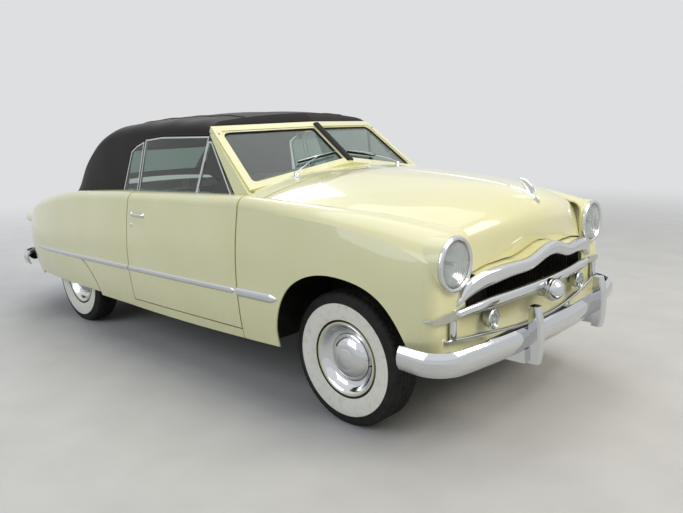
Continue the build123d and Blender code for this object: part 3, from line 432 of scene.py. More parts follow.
zigzag = tyre["zigzag"] * (2 / math.pi) * np.arcsin(np.sin(ringAngle * tyre["zigzags"]))
radial, axial = (outline[None, :, k] + 0 * ringAngle[:, None] for k in (0, 1))
for rib in tyre["ribs"]:
    cut = np.clip(1.6 - np.abs(axial - rib - zigzag[:, None]) / tyre["grooveHalf"], 0, 1)
    radial = radial - tyre["grooveDepth"] * cut * (radial > tyre["radius"] - tyre["flush"])
edge = (np.abs(np.abs(axial) - tyre["notchAt"]) < tyre["notchHalf"]) & (radial > tyre["notchFrom"])
notch = np.clip(np.abs((ringAngle[:, None] * tyre["zigzags"] / math.pi) % 2 - 1) * 4 - 2.6, 0, 1)
radial = radial - tyre["notchDepth"] * notch * edge
mid = (outline[:, 0] + np.roll(outline[:, 0], -1)) / 2
white = (mid > tyre["white"][0]) & (mid < tyre["white"][1]) & (outline[:, 1] > tyre["outerFrom"])
for side, s in sides.items():
    for end, x in tyre["axleX"].items():
        grid = np.stack([x + radial * np.cos(ringAngle)[:, None], s * (tyre["sideY"] + axial),
                         tyre["height"] + radial * np.sin(ringAngle)[:, None]], -1)
        obj = piece(f"tyre_tread_{end}_{side}", grid, [rubber, whiteRubber], f"{end}_{side}_wheel",
                    wrapU=True, marks=white.astype(int), sharp=30)
        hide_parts(f"tyre_{end}_{side}")
print("tyres done")

# spears along the sides, in three runs that part at the door; the door's run tapers, so that it passes the fender
spear = {"height": 0.600, "slope": 0.0165, "plain": (0.017, 0.009), "sleeve": (0.024, 0.013)}
bead = np.array([[-1, 0], [-0.98, 0.35], [-0.8, 0.7], [-0.45, 0.93], [0, 1], [0.45, 0.93], [0.8, 0.7], [0.98, 0.35],
                 [1, 0], [0.6, -0.15], [-0.6, -0.15]])
for side, s in sides.items():
    # label, panels, first and last x, body, half height and depth, taper's length at the rear or else at the front
    runs = [("quarter", [f"quarter_panel_{side}", "fender_skirts"], (-1.78, -0.153), "body", "plain", 0.25),
            ("door", [f"door_{side}"], (-0.143, 0.991), f"door_{side}", "plain", 0.026),
            ("fender", [f"front_fender_{side}"], (1.0135, 1.33), "body", "sleeve", 0.05)]
    for label, names, ends, body, kind, long in runs:
        x = np.linspace(*ends, 40)
        line = sideLine(names, x, spear["height"] + spear["slope"] * x, s)
        near, least = (x - ends[0], 0.12) if label == "quarter" else (ends[1] - x, 0.02)
        taper = np.sqrt(np.clip(near / long, least, 1))
        grid = sweep(line, [0, s, 0], bead, taper[:, None] * spear[kind])
        piece(f"spear_{label}_{side}", grid, chrome, body, sharp=50)
print("spears done")

# wheels: painted steel rim, dished chrome ring, domed cap, valve
wheel = {
    "steel": [(0.0225, 0.02), (0.0225, -0.004), (0.064, -0.004), (0.1, 0.010), (0.148, 0.010), (0.166, 0.036),
              (0.176, 0.045), (0.1815, 0.046), (0.184, -0.069), (0.1898, -0.07), (0.1898, 0.066), (0.189, 0.0725),
              (0.1855, 0.0745), (0.182, 0.072), (0.1795, 0.062), (0.174, 0.055), (0.164, 0.048), (0.146, 0.020),
              (0.1, 0.020), (0.07, 0.018)],
    "ring": [(0.1815, 0.0665), (0.1825, 0.0705), (0.180, 0.0725), (0.1745, 0.0705), (0.166, 0.062), (0.153, 0.045),
             (0.140, 0.035), (0.124, 0.031), (0.124, 0.029), (0.141, 0.0325), (0.155, 0.042), (0.168, 0.0595)],
    "cap": [(0.1195, 0.0285), (0.1205, 0.033), (0.118, 0.037), (0.1155, 0.0375), (0.1135, 0.0405), (0.105, 0.0505),
            (0.092, 0.0595), (0.075, 0.0665), (0.058, 0.0705), (0.0545, 0.0697), (0.0515, 0.0712), (0.036, 0.0735),
            (0.018, 0.0748), (pin, 0.0752)],
    "capWall": (0.002, 0.003), "around": 96,
    "valve": ((0.158, 0.040), (0.160, 0.056), (0.160, 0.068)), "valveRadius": 0.004,
}
capBack = [(r - wheel["capWall"][0], a - wheel["capWall"][1]) for r, a in wheel["cap"][-2:0:-1]]
capLine = wheel["cap"] + [(pin, wheel["cap"][-1][1] - wheel["capWall"][1])] + capBack
for side, s in sides.items():
    for end, x in tyre["axleX"].items():
        centre, body = (x, s * tyre["sideY"], tyre["height"]), f"{end}_{side}_wheel"
        for label, line, mat, sharp in (("steel", wheel["steel"], paint, 35), ("ring", wheel["ring"], chrome, 50),
                                        ("cap", capLine, chrome, 50)):
            obj = lathe(f"wheel_{label}_{end}_{side}", line, centre, (0, s, 0), wheel["around"], mat, body,
                        True, sharp)
            if label == "steel":
                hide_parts(f"wheel_{end}_{side}")
        stem = [(x + out, s * (tyre["sideY"] + along), tyre["height"]) for out, along in wheel["valve"]]
        piece(f"valve_{end}_{side}", sweep(stem, xAxis, circle(wheel["valveRadius"], 10)), rubber, body)
print("wheels done")


def rounded(points, radius):
    # closed outline, each corner drawn as (1 - t)^2 a + 2 t (1 - t) corner + t^2 b between its cut-back ends a and b
    p = np.array(points, float)
    radius = np.broadcast_to(radius, len(p))
    before, after = np.roll(p, 1, 0) - p, np.roll(p, -1, 0) - p
    a = p + before / np.linalg.norm(before, axis=1)[:, None] * radius[:, None]
    b = p + after / np.linalg.norm(after, axis=1)[:, None] * radius[:, None]
    t = np.linspace(0, 1, 8)[None, :, None]
    return ((1 - t) ** 2 * a[:, None] + 2 * t * (1 - t) * p[:, None] + t ** 2 * b[:, None]).reshape(-1, p.shape[1])


# headlamps: each part as profile, points around, material, whether it is a ring, and the angle of its sharp edges
headlampAt = (2.256, 0.698, 0.884)
headlamp = {
    "bezel": ([(0.1030, 0.000), (0.1135, 0.0004), (0.1235, 0.0004), (0.1242, 0.005), (0.1222, 0.0125),
               (0.1165, 0.0175), (0.1095, 0.0175), (0.1045, 0.0125), (0.1010, 0.006)], 96, chrome, True, 60),
    "bucket": ([(pin, -0.060), (0.099, -0.058), (0.1125, -0.003), (0.1125, 0.0002), (0.0965, 0.0002), (0.090, -0.020),
                (pin, -0.053)], 72, rubber, False, 35),
    "lens": ([(0.1018, 0.004), (0.1018, 0.007), (0.086, 0.0145), (0.062, 0.0215), (0.034, 0.0262), (pin, 0.0278),
              (pin, 0.0248), (0.034, 0.0232), (0.062, 0.0186), (0.086, 0.0116)], 96, lens, True, 60),
    "mirror": ([(pin, -0.044), (0.030, -0.039), (0.058, -0.026), (0.080, -0.009), (0.0955, 0.003), (0.0955, 0.0045),
                (0.079, -0.0078), (0.058, -0.0245), (0.030, -0.0375), (pin, -0.0425)], 72, chrome, True, 60),
    "bulb": ([(pin, -0.042), (0.008, -0.040), (0.008, -0.026), (0.011, -0.018), (0.009, -0.008), (pin, -0.004)],
             24, milkLens, False, 35),
}
for side, s in sides.items():
    for part, (line, count, mat, ring, sharp) in headlamp.items():
        obj = lathe(f"headlamp_{part}_{side}", line, np.array(headlampAt) * [1, s, 1], xAxis, count, mat,
                    ring=ring, sharp=sharp)
        if part == "bezel" and s > 0:
            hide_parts("headlamps")
print("headlamps done")


def bowAt(nose, end, half, y):
    # x of a circular bow in the plan through (nose, 0) and (end, half)
    rise = nose - end
    radius = (half ** 2 + rise ** 2) / (2 * rise)
    return nose - radius + np.sqrt(radius ** 2 - np.array(y, float) ** 2)


def spreadTable(at, values, where):
    # smooth curve through a table: the cubic whose slope at each point is the mean of its neighbours' slopes
    slope = np.gradient(values, at)
    slope[0] = 0
    i = np.clip(np.searchsorted(at, where) - 1, 0, len(at) - 2)
    h = at[i + 1] - at[i]
    t = (where - at[i]) / h
    return ((1 + 2 * t) * (1 - t) ** 2 * values[i] + t * (1 - t) ** 2 * h * slope[i]
            + t * t * (3 - 2 * t) * values[i + 1] + t * t * (t - 1) * h * slope[i + 1])


def band(name, table, bow, thick, bulge):
    # bar across the nose: at each y a superellipse from low z to high z, its front on the bow and thick deep
    y = np.linspace(-table[-1, 0], table[-1, 0], 121)
    high, low = (spreadTable(table[:, 0], table[:, k], np.abs(y)) for k in (1, 2))
    x = bowAt(*bow, y)
    t = turns(40)
    forward, upward = (np.sign(f) * np.abs(f) ** (2 / nose["soft"]) for f in (np.cos(t), np.sin(t)))
    depth = np.where(np.cos(t) > 0, bulge, thick - bulge)
    end = np.sqrt(np.clip((table[-1, 0] - np.abs(y)) / nose["endLength"], nose["endLeast"], 1))
    grid = np.broadcast_arrays((x - bulge)[:, None] + forward * depth * end[:, None], y[:, None],
                               ((high + low) / 2)[:, None] + ((high - low) / 2 * end)[:, None] * upward)
    return piece(name, np.stack(grid, -1), chrome, sharp=60)


# nose: moulding with its hump, bar, lower moulding, painted shelf from the moulding to the hood's lip
nose = {
    # y, x and z of the hood's lip from underneath, in mm
    "lip": [(0, 2284, 891), (60, 2282, 886), (120, 2275, 869), (180, 2270, 852), (245, 2266, 843), (310, 2262, 843),
            (380, 2257, 841), (440, 2251, 839), (500, 2246, 829), (548, 2242, 821)],
    # y, high z and low z of the three bars, in mm
    "moulding": [(0, 886, 818), (60, 881, 813), (120, 864, 798), (180, 847, 782), (245, 838, 775), (310, 839, 774),
                 (441, 834, 759), (553, 816, 739), (612, 790, 718), (648, 758, 700), (676, 706, 684)],
    "bar": [(0, 704, 645), (318, 702, 645), (455, 699, 641), (566, 689, 638), (690, 674, 637)],
    "lower": [(0, 513, 498), (346, 527, 512), (485, 541, 526), (609, 551, 536), (725, 561, 546), (770, 563, 548)],
    # thickness and bulge of each bar
    "mouldingDeep": (0.040, 0.026), "barDeep": (0.040, 0.024), "lowerDeep": (0.028, 0.012),
    "soft": 2.4, "endLength": 0.012, "endLeast": 0.06,
    # each bar's bow: x in the middle, then x and y at its end
    "mouldingBow": (2.376, 2.268, 0.680), "barBow": (2.352, 2.266, 0.690),
    "lowerBow": (2.340, 2.270, 0.770), "lipGap": 0.006, "under": 0.012, "behind": 0.024, "meets": 0.86,
    "crown": 0.001, "shelf": 0.003,
}
lip, mould, bar, lower = (np.array(nose[k], float) * mm for k in ("lip", "moulding", "bar", "lower"))
moulding = band("grille_moulding", mould, nose["mouldingBow"], *nose["mouldingDeep"])
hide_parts("grille_surround")
centreBar = band("grille_centre_bar", bar, nose["barBow"], *nose["barDeep"])
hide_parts("grille_bar")
band("grille_lower_bar", lower, nose["lowerBow"], *nose["lowerDeep"])
y = np.linspace(-lip[-1, 0], lip[-1, 0], 111)
backX, backZ = (spreadTable(lip[:, 0], lip[:, k], np.abs(y)) for k in (1, 2))
frontTop, frontLow = (spreadTable(mould[:, 0], mould[:, k], np.abs(y)) for k in (1, 2))
frontX = bowAt(*nose["mouldingBow"], y) - nose["behind"]
backZ, frontZ = backZ - nose["lipGap"], frontLow + (frontTop - frontLow) * nose["meets"]
shelf = [np.stack([x, y, z], 1) for x, z in ((backX - nose["under"], backZ), (
    (backX + frontX) / 2, (backZ + frontZ) / 2 + nose["crown"]), (frontX, frontZ))]
shelf += [row - [0, 0, nose["shelf"]] for row in shelf[::-1]]
piece("hood_lip_shelf", np.stack(shelf, 1), paint, sharp=50)

# ball on the bar with its collar, end posts, fog lamps, slats
ball = {
    "at": (2.368, 0, 0.644), "axis": (1, 0, -0.12),
    "line": [(pin, -0.058), (0.030, -0.0495), (0.050, -0.029), (0.0568, -0.010), (0.0575, -0.003), (0.0555, -0.001),
             (0.0555, 0.001), (0.0575, 0.003), (0.0568, 0.012), (0.050, 0.029), (0.036, 0.0455), (0.019, 0.0548),
             (pin, 0.0578)],
    "collar": [(0.030, -0.060), (0.052, -0.058), (0.047, -0.036), (0.043, -0.020), (0.030, -0.018)],
}
lathe("grille_ball", ball["line"], ball["at"], ball["axis"], 72, chrome)
lathe("grille_ball_collar", ball["collar"], ball["at"], ball["axis"], 72, chrome, ring=True)
post = {"x": 2.2665, "y": 0.725, "z": (0.556, 0.575, 0.600, 0.625, 0.642), "radius": 0.019,
        "squash": 0.85, "grow": [0.9, 1, 1, 1, 0.9]}
for side, s in sides.items():
    line = [(post["x"], s * post["y"], z) for z in post["z"]]
    grid = sweep(line, xAxis, circle(post["radius"], 24, post["squash"]), post["grow"])
    piece(f"grille_post_{side}", grid, chrome, sharp=50)
fog = {
    "at": (2.250, 0.455, 0.590),
    "bowl": [(pin, 0.0), (0.020, 0.0), (0.037, 0.019), (0.0445, 0.045), (0.0475, 0.049), (0.0478, 0.057),
             (0.0462, 0.0615), (0.0425, 0.0632), (0.0405, 0.0600), (0.030, 0.048), (pin, 0.041)],
    "lens": [(0.0402, 0.0598), (0.0402, 0.0620), (0.031, 0.0675), (0.016, 0.0712), (pin, 0.0728), (pin, 0.0700),
             (0.016, 0.0686), (0.031, 0.0650)],
}
for side, s in sides.items():
    centre = np.array(fog["at"]) * [1, s, 1]
    bowl = lathe(f"fog_bowl_{side}", fog["bowl"], centre, xAxis, 64, chrome)
    if s > 0:
        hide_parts("fog_lamps")
    lathe(f"fog_lens_{side}", fog["lens"], centre, xAxis, 64, lens, ring=True, sharp=60)
slat = {"half": 0.585, "count": 40, "xz": ((2.226, 0.655), (2.228, 0.72), (2.226, 0.80)),
        "section": [(-0.0012, -0.010), (0.0012, -0.010), (0.0012, 0.010), (-0.0012, 0.010)]}
slats = [sweep([(x, y, z) for x, z in slat["xz"]], xAxis, slat["section"])
         for y in np.linspace(-slat["half"], slat["half"], slat["count"])]
piece("grille_slats", slats, chassisBlack)
print("nose done")

# windshield: black rubber in rounded corners, painted corner fillets, dark centre strip
screen = {
    "lowMid": (1.010, 0, 1.250), "lowOut": (0.960, 0.738, 1.150), "topMid": (0.722, 0, 1.472), "wide": 0.668,
    "topDrop": 0.008, "barHalf": 0.023, "inset": 0.004, "corner": [0.012, 0.055, 0.06, 0.012], "sharpCorner": 0.0005,
    "filletHalf": 0.0135, "filletEdge": 0.0105, "rubberHalf": 0.0065, "rubberTall": 0.009,
    "rubberIn": 0.6,
    "stripAt": (-0.02, 0.2, 0.5, 0.8, 1.0), "stripOff": (0.0165, 0, 0.0215), "stripFaces": (0.61, 0, 0.79),
    "strip": [(-0.0245, -0.046), (0.0245, -0.046), (0.0245, -0.004), (0.019, 0.002), (0.011, 0.0055),
              (-0.011, 0.0055), (-0.019, 0.002), (-0.0245, -0.004)],
}
lowMid, lowOut, topMid = (np.array(screen[k], float) for k in ("lowMid", "lowOut", "topMid"))
screenNormal = np.cross(lowOut - lowMid, topMid - lowMid)
screenNormal /= np.linalg.norm(screenNormal)
topZ = topMid[2] - screen["topDrop"]
slide = screenNormal[1] * screen["wide"] + screenNormal[2] * (topZ - lowMid[2])
topOut = np.array([lowMid[0] - slide / screenNormal[0], screen["wide"], topZ])
across = (lowOut - lowMid) / np.linalg.norm(lowOut - lowMid)
upScreen = np.cross(screenNormal, across)
forward = screenNormal * np.sign(screenNormal[0])
corners = np.array([lowMid, lowOut, topOut, topMid])
flatCorners = np.stack([(corners - lowMid) @ across, (corners - lowMid) @ upScreen], 1)


def insetLine(points, by):
    # each side of a convex outline moved inwards by the distance, neighbours met again
    p = np.array(points, float)
    after = np.roll(p, -1, 0)
    d = after - p
    d /= np.linalg.norm(d, axis=1)[:, None]
    inward = np.stack([-d[:, 1], d[:, 0]], 1)
    if (after[:, 0] * p[:, 1] - p[:, 0] * after[:, 1]).sum() > 0:
        inward = -inward
    q = p + inward * by
    out = []
    for i in range(len(p)):
        j = i - 1
        t = np.linalg.solve(np.array([d[j], -d[i]]).T, q[i] - q[j])
        out.append(q[j] + d[j] * t[0])
    return np.array(out)


def onScreen(flat, depth, s):
    # from the left pane's plane into space, mirrored for s = -1: lowest middle + u across + v up + depth normal
    return (lowMid + flat[:, :1] * across + flat[:, 1:] * upScreen + screenNormal * depth) * [1, s, 1]


hole = rounded(insetLine(flatCorners, screen["barHalf"]), screen["sharpCorner"])
seal = rounded(insetLine(flatCorners, screen["barHalf"] + screen["inset"]), screen["corner"])
inward = seal.mean(0) - seal
inward /= np.linalg.norm(inward, axis=1)[:, None]
for side, s in sides.items():
    deep, edge = screen["filletHalf"], screen["filletEdge"]
    grid = [onScreen(line, depth, s) for line, depth in ((hole, -deep), (hole, deep), (seal, edge), (seal, -edge))]
    piece(f"screen_corner_fillet_{side}", np.stack(grid, 1), paint, wrapU=True, sharp=30)
    half, tall = screen["rubberHalf"], screen["rubberTall"]
    ring = [onScreen(seal + inward * half * (screen["rubberIn"] + math.cos(a)), tall * math.sin(a), s)
            for a in turns(10)]
    piece(f"screen_rubber_{side}", np.stack(ring, 1), rubber, wrapU=True, sharp=60)
strip = [lowMid + (topMid - lowMid) * f + np.array(screen["stripOff"]) for f in screen["stripAt"]]
piece("screen_centre_strip", sweep(strip, screen["stripFaces"], screen["strip"]), rubber, sharp=50)
print("windshield done")


def splineAt(at, values, where):
    # natural cubic spline through a table: second slopes from the three-term equations, then the cubic of each span
    order = np.argsort(at)
    at, values = at[order], values[order]
    h = np.diff(at)
    n = len(at)
    m, right = np.eye(n), np.zeros(n)
    for i in range(1, n - 1):
        m[i, i - 1:i + 2] = h[i - 1], 2 * (h[i - 1] + h[i]), h[i]
        right[i] = 6 * ((values[i + 1] - values[i]) / h[i] - (values[i] - values[i - 1]) / h[i - 1])
    bend = np.linalg.solve(m, right)
    i = np.clip(np.searchsorted(at, where) - 1, 0, n - 2)
    a, b, w = where - at[i], at[i + 1] - where, h[i]
    return ((bend[i] * b ** 3 + bend[i + 1] * a ** 3) / (6 * w) + (values[i] / w - bend[i] * w / 6) * b
            + (values[i + 1] / w - bend[i + 1] * w / 6) * a)


# soft top: one cloth over its bows, lining under it, cords along its seams and edges
top = {
    # x, base y and z, shoulder y and z, roof edge y and z, middle z, in mm
    "sections": [(790, 700, 1150, 672, 1440, 560, 1516, 1545), (430, 742, 1120, 690, 1462, 560, 1538, 1574),
                 (70, 758, 1105, 698, 1466, 560, 1546, 1583), (-290, 764, 1090, 700, 1456, 560, 1538, 1576),
                 (-650, 762, 1070, 698, 1420, 560, 1508, 1550), (-1010, 752, 1040, 690, 1270, 560, 1360, 1400),
                 (-1370, 700, 960, 650, 1000, 540, 1035, 1060)],
    "windowLine": [(-0.360, 1.050), (-0.330, 1.352), (-0.250, 1.392), (-0.110, 1.432), (0.060, 1.446),
                   (0.900, 1.446)], "windowEdge": (-0.329, -0.361),
    "glassHalf": 0.430, "glassTop": 1.330, "glassLow": 1.130, "rearX": -1.338,
    "bows": [-0.98, -0.62, -0.26, 0.08, 0.40, 0.66], "sag": 0.0055, "cornerFull": 0.70, "gap": 0.0205,
    "seamY": 0.430, "seamHigh": 0.0022, "seamWide": 0.004, "stitchIn": 0.011, "stitchDeep": 0.0008,
    "stitchWide": 0.003, "pucker": 0.0012, "puckerWave": 260, "puckerSlope": 0.55, "puckerTo": 0.35, "cloth": 0.0025,
    # slack folds behind the windows: height, waves along x and z, where they start and are full
    "slack": 0.0022, "slackWave": (14, 9), "slackFrom": -0.30, "slackOver": 0.3, "lining": 0.0105,
    "liningThick": 0.0015, "frontScan": (0.45, 0.79), "rearScan": (-1.34, -0.7), "cordIn": 0.004, "cordUp": 0.0012,
    "cordFaces": 0.25, "paneRubber": (0.009, 0.0045), "paneRubberUp": 0.001,
    "foldFrom": 1.3, "foldUp": 0.0225, "foldBack": 0.011, "foldBulge": (0.009, 0, 0.005),
    "edgeCord": 0.0062, "seamCord": 0.0026, "paneFaces": (-0.66, 0, 0.75),
}
rows = np.array(top["sections"], float) * mm
bows = np.array(top["bows"])
windowX, windowZ = np.array(top["windowLine"]).T


def topSurface(x, c, inward=0.0, dressed=True):
    # c from 0 to 4 runs from the lower edge to the shoulder, the roof edge, the seam line and the middle;
    # bows, seams and pulls move it along z and y
    x, c = np.broadcast_arrays(np.array(x, float), np.array(c, float))
    yb, zb, ys, zs, yr, zr, zm = (splineAt(rows[:, 0], rows[:, k], x) for k in range(1, 8))
    edge = np.where(x > windowX[0], np.maximum(np.interp(x, windowX, windowZ), zb), zb)
    part = (edge - zb) / (zs - zb)
    y0, t = yb + (ys - yb) * part, np.clip(c, 0, 1)
    y1, z1 = y0 + (ys - y0) * t, edge + (zs - edge) * t
    t = np.clip(c - 1, 0, 1)
    ym, zc = yr + top["cornerFull"] * (ys - yr), zs + top["cornerFull"] * (zr - zs)
    w0, w1, w2 = (1 - t) * (1 - 2 * t), 4 * t * (1 - t), t * (2 * t - 1)
    y2, z2 = w0 * ys + w1 * ym + w2 * yr, w0 * zs + w1 * zc + w2 * zr
    h = zm - zr
    radius = (yr ** 2 + h ** 2) / (2 * h)
    y3 = np.where(c < 3, yr + (top["glassHalf"] - yr) * np.clip(c - 2, 0, 1), top["glassHalf"] * (4 - c))
    z3 = zm - radius + np.sqrt(radius ** 2 - y3 ** 2)
    y, z = np.select([c <= 1, c <= 2], [y1, y2], y3), np.select([c <= 1, c <= 2], [z1, z2], z3)
    if dressed:
        k = np.clip(np.searchsorted(bows, x) - 1, 0, len(bows) - 2)
        f = np.clip((x - bows[k]) / (bows[k + 1] - bows[k]), 0, 1)
        over = np.clip((c - 1.0) / 0.8, 0, 1) * np.where(x < bows[0], 0, 1)
        z = z - top["sag"] * np.sin(math.pi * f) ** 2 * over
        seam = np.exp(-((y - top["seamY"]) / top["seamWide"]) ** 2) * top["seamHigh"]
        stitch = np.exp(-((y - top["seamY"] + top["stitchIn"]) / top["stitchWide"]) ** 2) * top["stitchDeep"]
        z = z + (seam - stitch) * (c > 2)
        wave = np.sin(top["puckerWave"] * (x + top["puckerSlope"] * z))
        tight = top["pucker"] * wave * np.clip(1 - c / top["puckerTo"], 0, 1)
        wave = np.sin(top["slackWave"][0] * x + top["slackWave"][1] * z)
        loose = top["slack"] * wave * np.clip((top["slackFrom"] - x) / top["slackOver"], 0, 1) * (c < 2)
        y = y + tight + loose
    return np.stack([x, y - inward * np.clip(2.2 - c, 0, 1), z - inward * np.clip(c - 0.6, 0, 1)], -1)


def bare(x, c):
    # the surface without its dressing
    return topSurface(x, c, dressed=False)


def crossing(x, heights, level):
    # per column, the x at which its rising height passes the level
    return np.array([np.interp(level, h, x) for h in heights.T])


columns = np.concatenate([np.linspace(0, 1, 28)[:-1], np.linspace(1, 2, 21)[:-1], np.linspace(2, 3, 15)[:-1],
                          np.linspace(3, 4, 42)])
x = np.linspace(*top["frontScan"], 400)
frontX = crossing(x, (bare(x[:, None], columns[None]) - lowMid) @ forward - top["gap"], 0)
x = np.linspace(*top["rearScan"], 600)
topX, lowX = (crossing(x, bare(x[:, None], columns[None])[..., 2], top[k]) for k in ("glassTop", "glassLow"))
seamAt = int(np.argmin(np.abs(columns - 3)))
topX, lowX = (np.where(columns < 3, line[seamAt], line) for line in (topX, lowX))
mirrored = np.array([1, -1, 1])


def between(a, b, count):
    # rows of x from line a to line b
    return a + (b - a) * np.linspace(0, 1, count)[:, None]


def bothHalves(x, c, inward):
    # the left half and its mirror image as one grid where the half reaches the middle
    g = topSurface(x, c[None], inward)
    return np.concatenate([g, g[:, -2::-1] * mirrored], 1)


def topPatches(inward):
    # roof, two sides of the rear pane and the strip under it; the roof's rows gather at the windows' rear edge
    ahead, behind = top["windowEdge"]
    gather = np.linspace(ahead, behind, 14)[1:-1, None] + 0 * frontX
    roof = bothHalves(np.vstack([between(frontX, ahead, 90), gather, between(behind, topX, 50)]), columns, inward)
    under = between(lowX, top["rearX"], 22)
    sideX = np.vstack([between(topX, lowX, 24), under[1:]])[:, :seamAt + 1]
    side = topSurface(sideX, columns[None, :seamAt + 1], inward)
    return [roof, side, (side * mirrored)[:, ::-1], bothHalves(under[:, seamAt:], columns[seamAt:], inward)]


def baked(obj):
    # the object's mesh as its modifiers leave it
    return bpy.data.meshes.new_from_object(obj.evaluated_get(bpy.context.evaluated_depsgraph_get()))


def clothPiece(name, inward, thick, mat):
    # the open patches sewn at their shared edges, turned to face up, then given their thickness inwards
    obj = piece(name, topPatches(inward), mat, wrapV=False, sharp=180, shut=False)
    if max(obj.data.polygons, key=lambda f: f.center.z).normal.z < 0:
        obj.data.flip_normals()
    shell = obj.modifiers.new("thickness", "SOLIDIFY")
    shell.thickness, shell.offset = thick, -1
    finished = baked(obj)
    obj.modifiers.clear()
    obj.data = finished
    return obj


def flatArea(grids):
    # sum of the two triangles of each grid cell
    total = 0.0
    for g in grids:
        a, b, c, d = g[:-1, :-1], g[1:, :-1], g[1:, 1:], g[:-1, 1:]
        total += sum(np.linalg.norm(np.cross(p - a, q - a), axis=-1).sum() / 2 for p, q in ((b, c), (c, d)))
    return float(total)


cloth = clothPiece("top_cloth", 0.0, top["cloth"], topCloth)
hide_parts("soft_top")
flatArea(topPatches(0.0))
lining = clothPiece("top_lining", top["lining"], top["liningThick"], carpet)
flatArea(topPatches(top["lining"]))
# front fold: the cloth turned down from its front edge onto the header bar, bulging a little forward and up
first = int(np.searchsorted(columns, top["foldFrom"]))
edge = bothHalves(frontX[None, first:], columns[first:], 0.0)[0]
share = (np.abs(edge[:, 1]) / screen["wide"])[:, None]
header = topMid + (topOut - topMid) * share + upScreen * top["foldUp"] - forward * top["foldBack"]
header[:, 1] = edge[:, 1]
f = np.linspace(0, 1, 9)[None, :, None]
fold = edge[:, None] + (header - edge)[:, None] * f + np.array(top["foldBulge"]) * np.sin(math.pi * f)
under = fold[:, ::-1] - [top["cloth"], 0, top["cloth"] / 2]
front = piece("top_front_fold", np.concatenate([fold, under], 1), topCloth, sharp=60)
for side, s in sides.items():
    ahead, behind = top["windowEdge"]
    x = np.concatenate([np.linspace(frontX[0], ahead, 70), np.linspace(-0.331, behind, 16)])
    line = topSurface(x, 0, top["cordIn"], dressed=False) * [1, s, 1]
    piece(f"top_edge_cord_{side}", sweep(line, (0, s, top["cordFaces"]), circle(top["edgeCord"], 12)), topCloth)
    x = np.linspace(frontX[seamAt] - 0.01, topX[seamAt], 120)
    line = topSurface(x, 3) * [1, s, 1] + [0, 0, top["cordUp"]]
    piece(f"top_seam_cord_{side}", sweep(line, zAxis, circle(top["seamCord"], 8)), topCloth)
high, low = (bare(line[seamAt:], columns[seamAt:]) for line in (topX, lowX))
drop = bare(np.linspace(topX[seamAt], lowX[seamAt], 14)[1:-1], 3)
rim = np.concatenate([high, high[-2::-1] * mirrored, drop * mirrored, low * mirrored, low[-2::-1], drop[::-1]])
outward = rim - rim.mean(0)
outward /= np.linalg.norm(outward, axis=1)[:, None]
wide, tall = top["paneRubber"]
paneFaces = np.array(top["paneFaces"])
ring = [rim + outward * wide * math.cos(a) + paneFaces * (tall * math.sin(a) + top["paneRubberUp"])
        for a in turns(12)]
piece("rear_window_rubber", np.stack(ring, 1), rubber, wrapU=True, sharp=60)
print("soft top done")

# wipers parked low on each pane, their pivots seated on the cowl by a ray
wiper = {
    "pivot": (1.030, 0.46), "bladeHalf": 0.15, "along": 0.20, "rise": 0.085, "off": 0.026, "rubberUnder": 0.009,
    "cap": [(pin, 0.030), (0.009, 0.028), (0.013, 0.021), (0.015, 0.008), (0.021, 0.003), (0.021, -0.004),
            (pin, -0.004)],
    "bridge": [(-0.003, -0.003), (0.003, -0.003), (0.002, 0.005), (-0.002, 0.005)],
    "arm": (0.0045, 0.6), "armGrow": (1.1, 0.7), "rises": (0.012, 0.024), "bend": 0.4, "bendOff": (0.006, 0, 0.020),
    "bridgeGrow": [0.4, 0.8, 1, 1.2, 1.4, 1.2, 1, 0.8, 0.4],
    "rubber": [(-0.0012, -0.008), (0.0012, -0.008), (0.0028, 0.006), (-0.0028, 0.006)],
}
for k, s in enumerate((-1, 1)):
    pivot = onPanel(["cowl"], [(wiper["pivot"][0], s * wiper["pivot"][1], 1.6)], (0, 0, -1))[0][0]
    up, along = forward * [1, s, 1], across * [1, s, 1]
    tip = lowMid + (across * wiper["along"] + upScreen * wiper["rise"]) * [1, s, 1] + up * wiper["off"]
    bend = pivot * (1 - wiper["bend"]) + tip * wiper["bend"] + wiper["bendOff"]
    line = spread([*(pivot + zAxis * rise for rise in wiper["rises"]), bend, tip], 24)
    radius, squash = wiper["arm"]
    piece(f"wiper_arm_{k}", sweep(line, zAxis, circle(radius, 10, squash), np.linspace(*wiper["armGrow"], 24)), chrome)
    lathe(f"wiper_pivot_{k}", wiper["cap"], pivot, zAxis, 28, chrome)
    blade = np.array([tip + along * f for f in np.linspace(-wiper["bladeHalf"], wiper["bladeHalf"], 9)])
    piece(f"wiper_bridge_{k}", sweep(blade, up, wiper["bridge"], wiper["bridgeGrow"]), chrome)
    piece(f"wiper_rubber_{k}", sweep(blade - up * wiper["rubberUnder"], up, wiper["rubber"]), rubber)
print("wipers done")

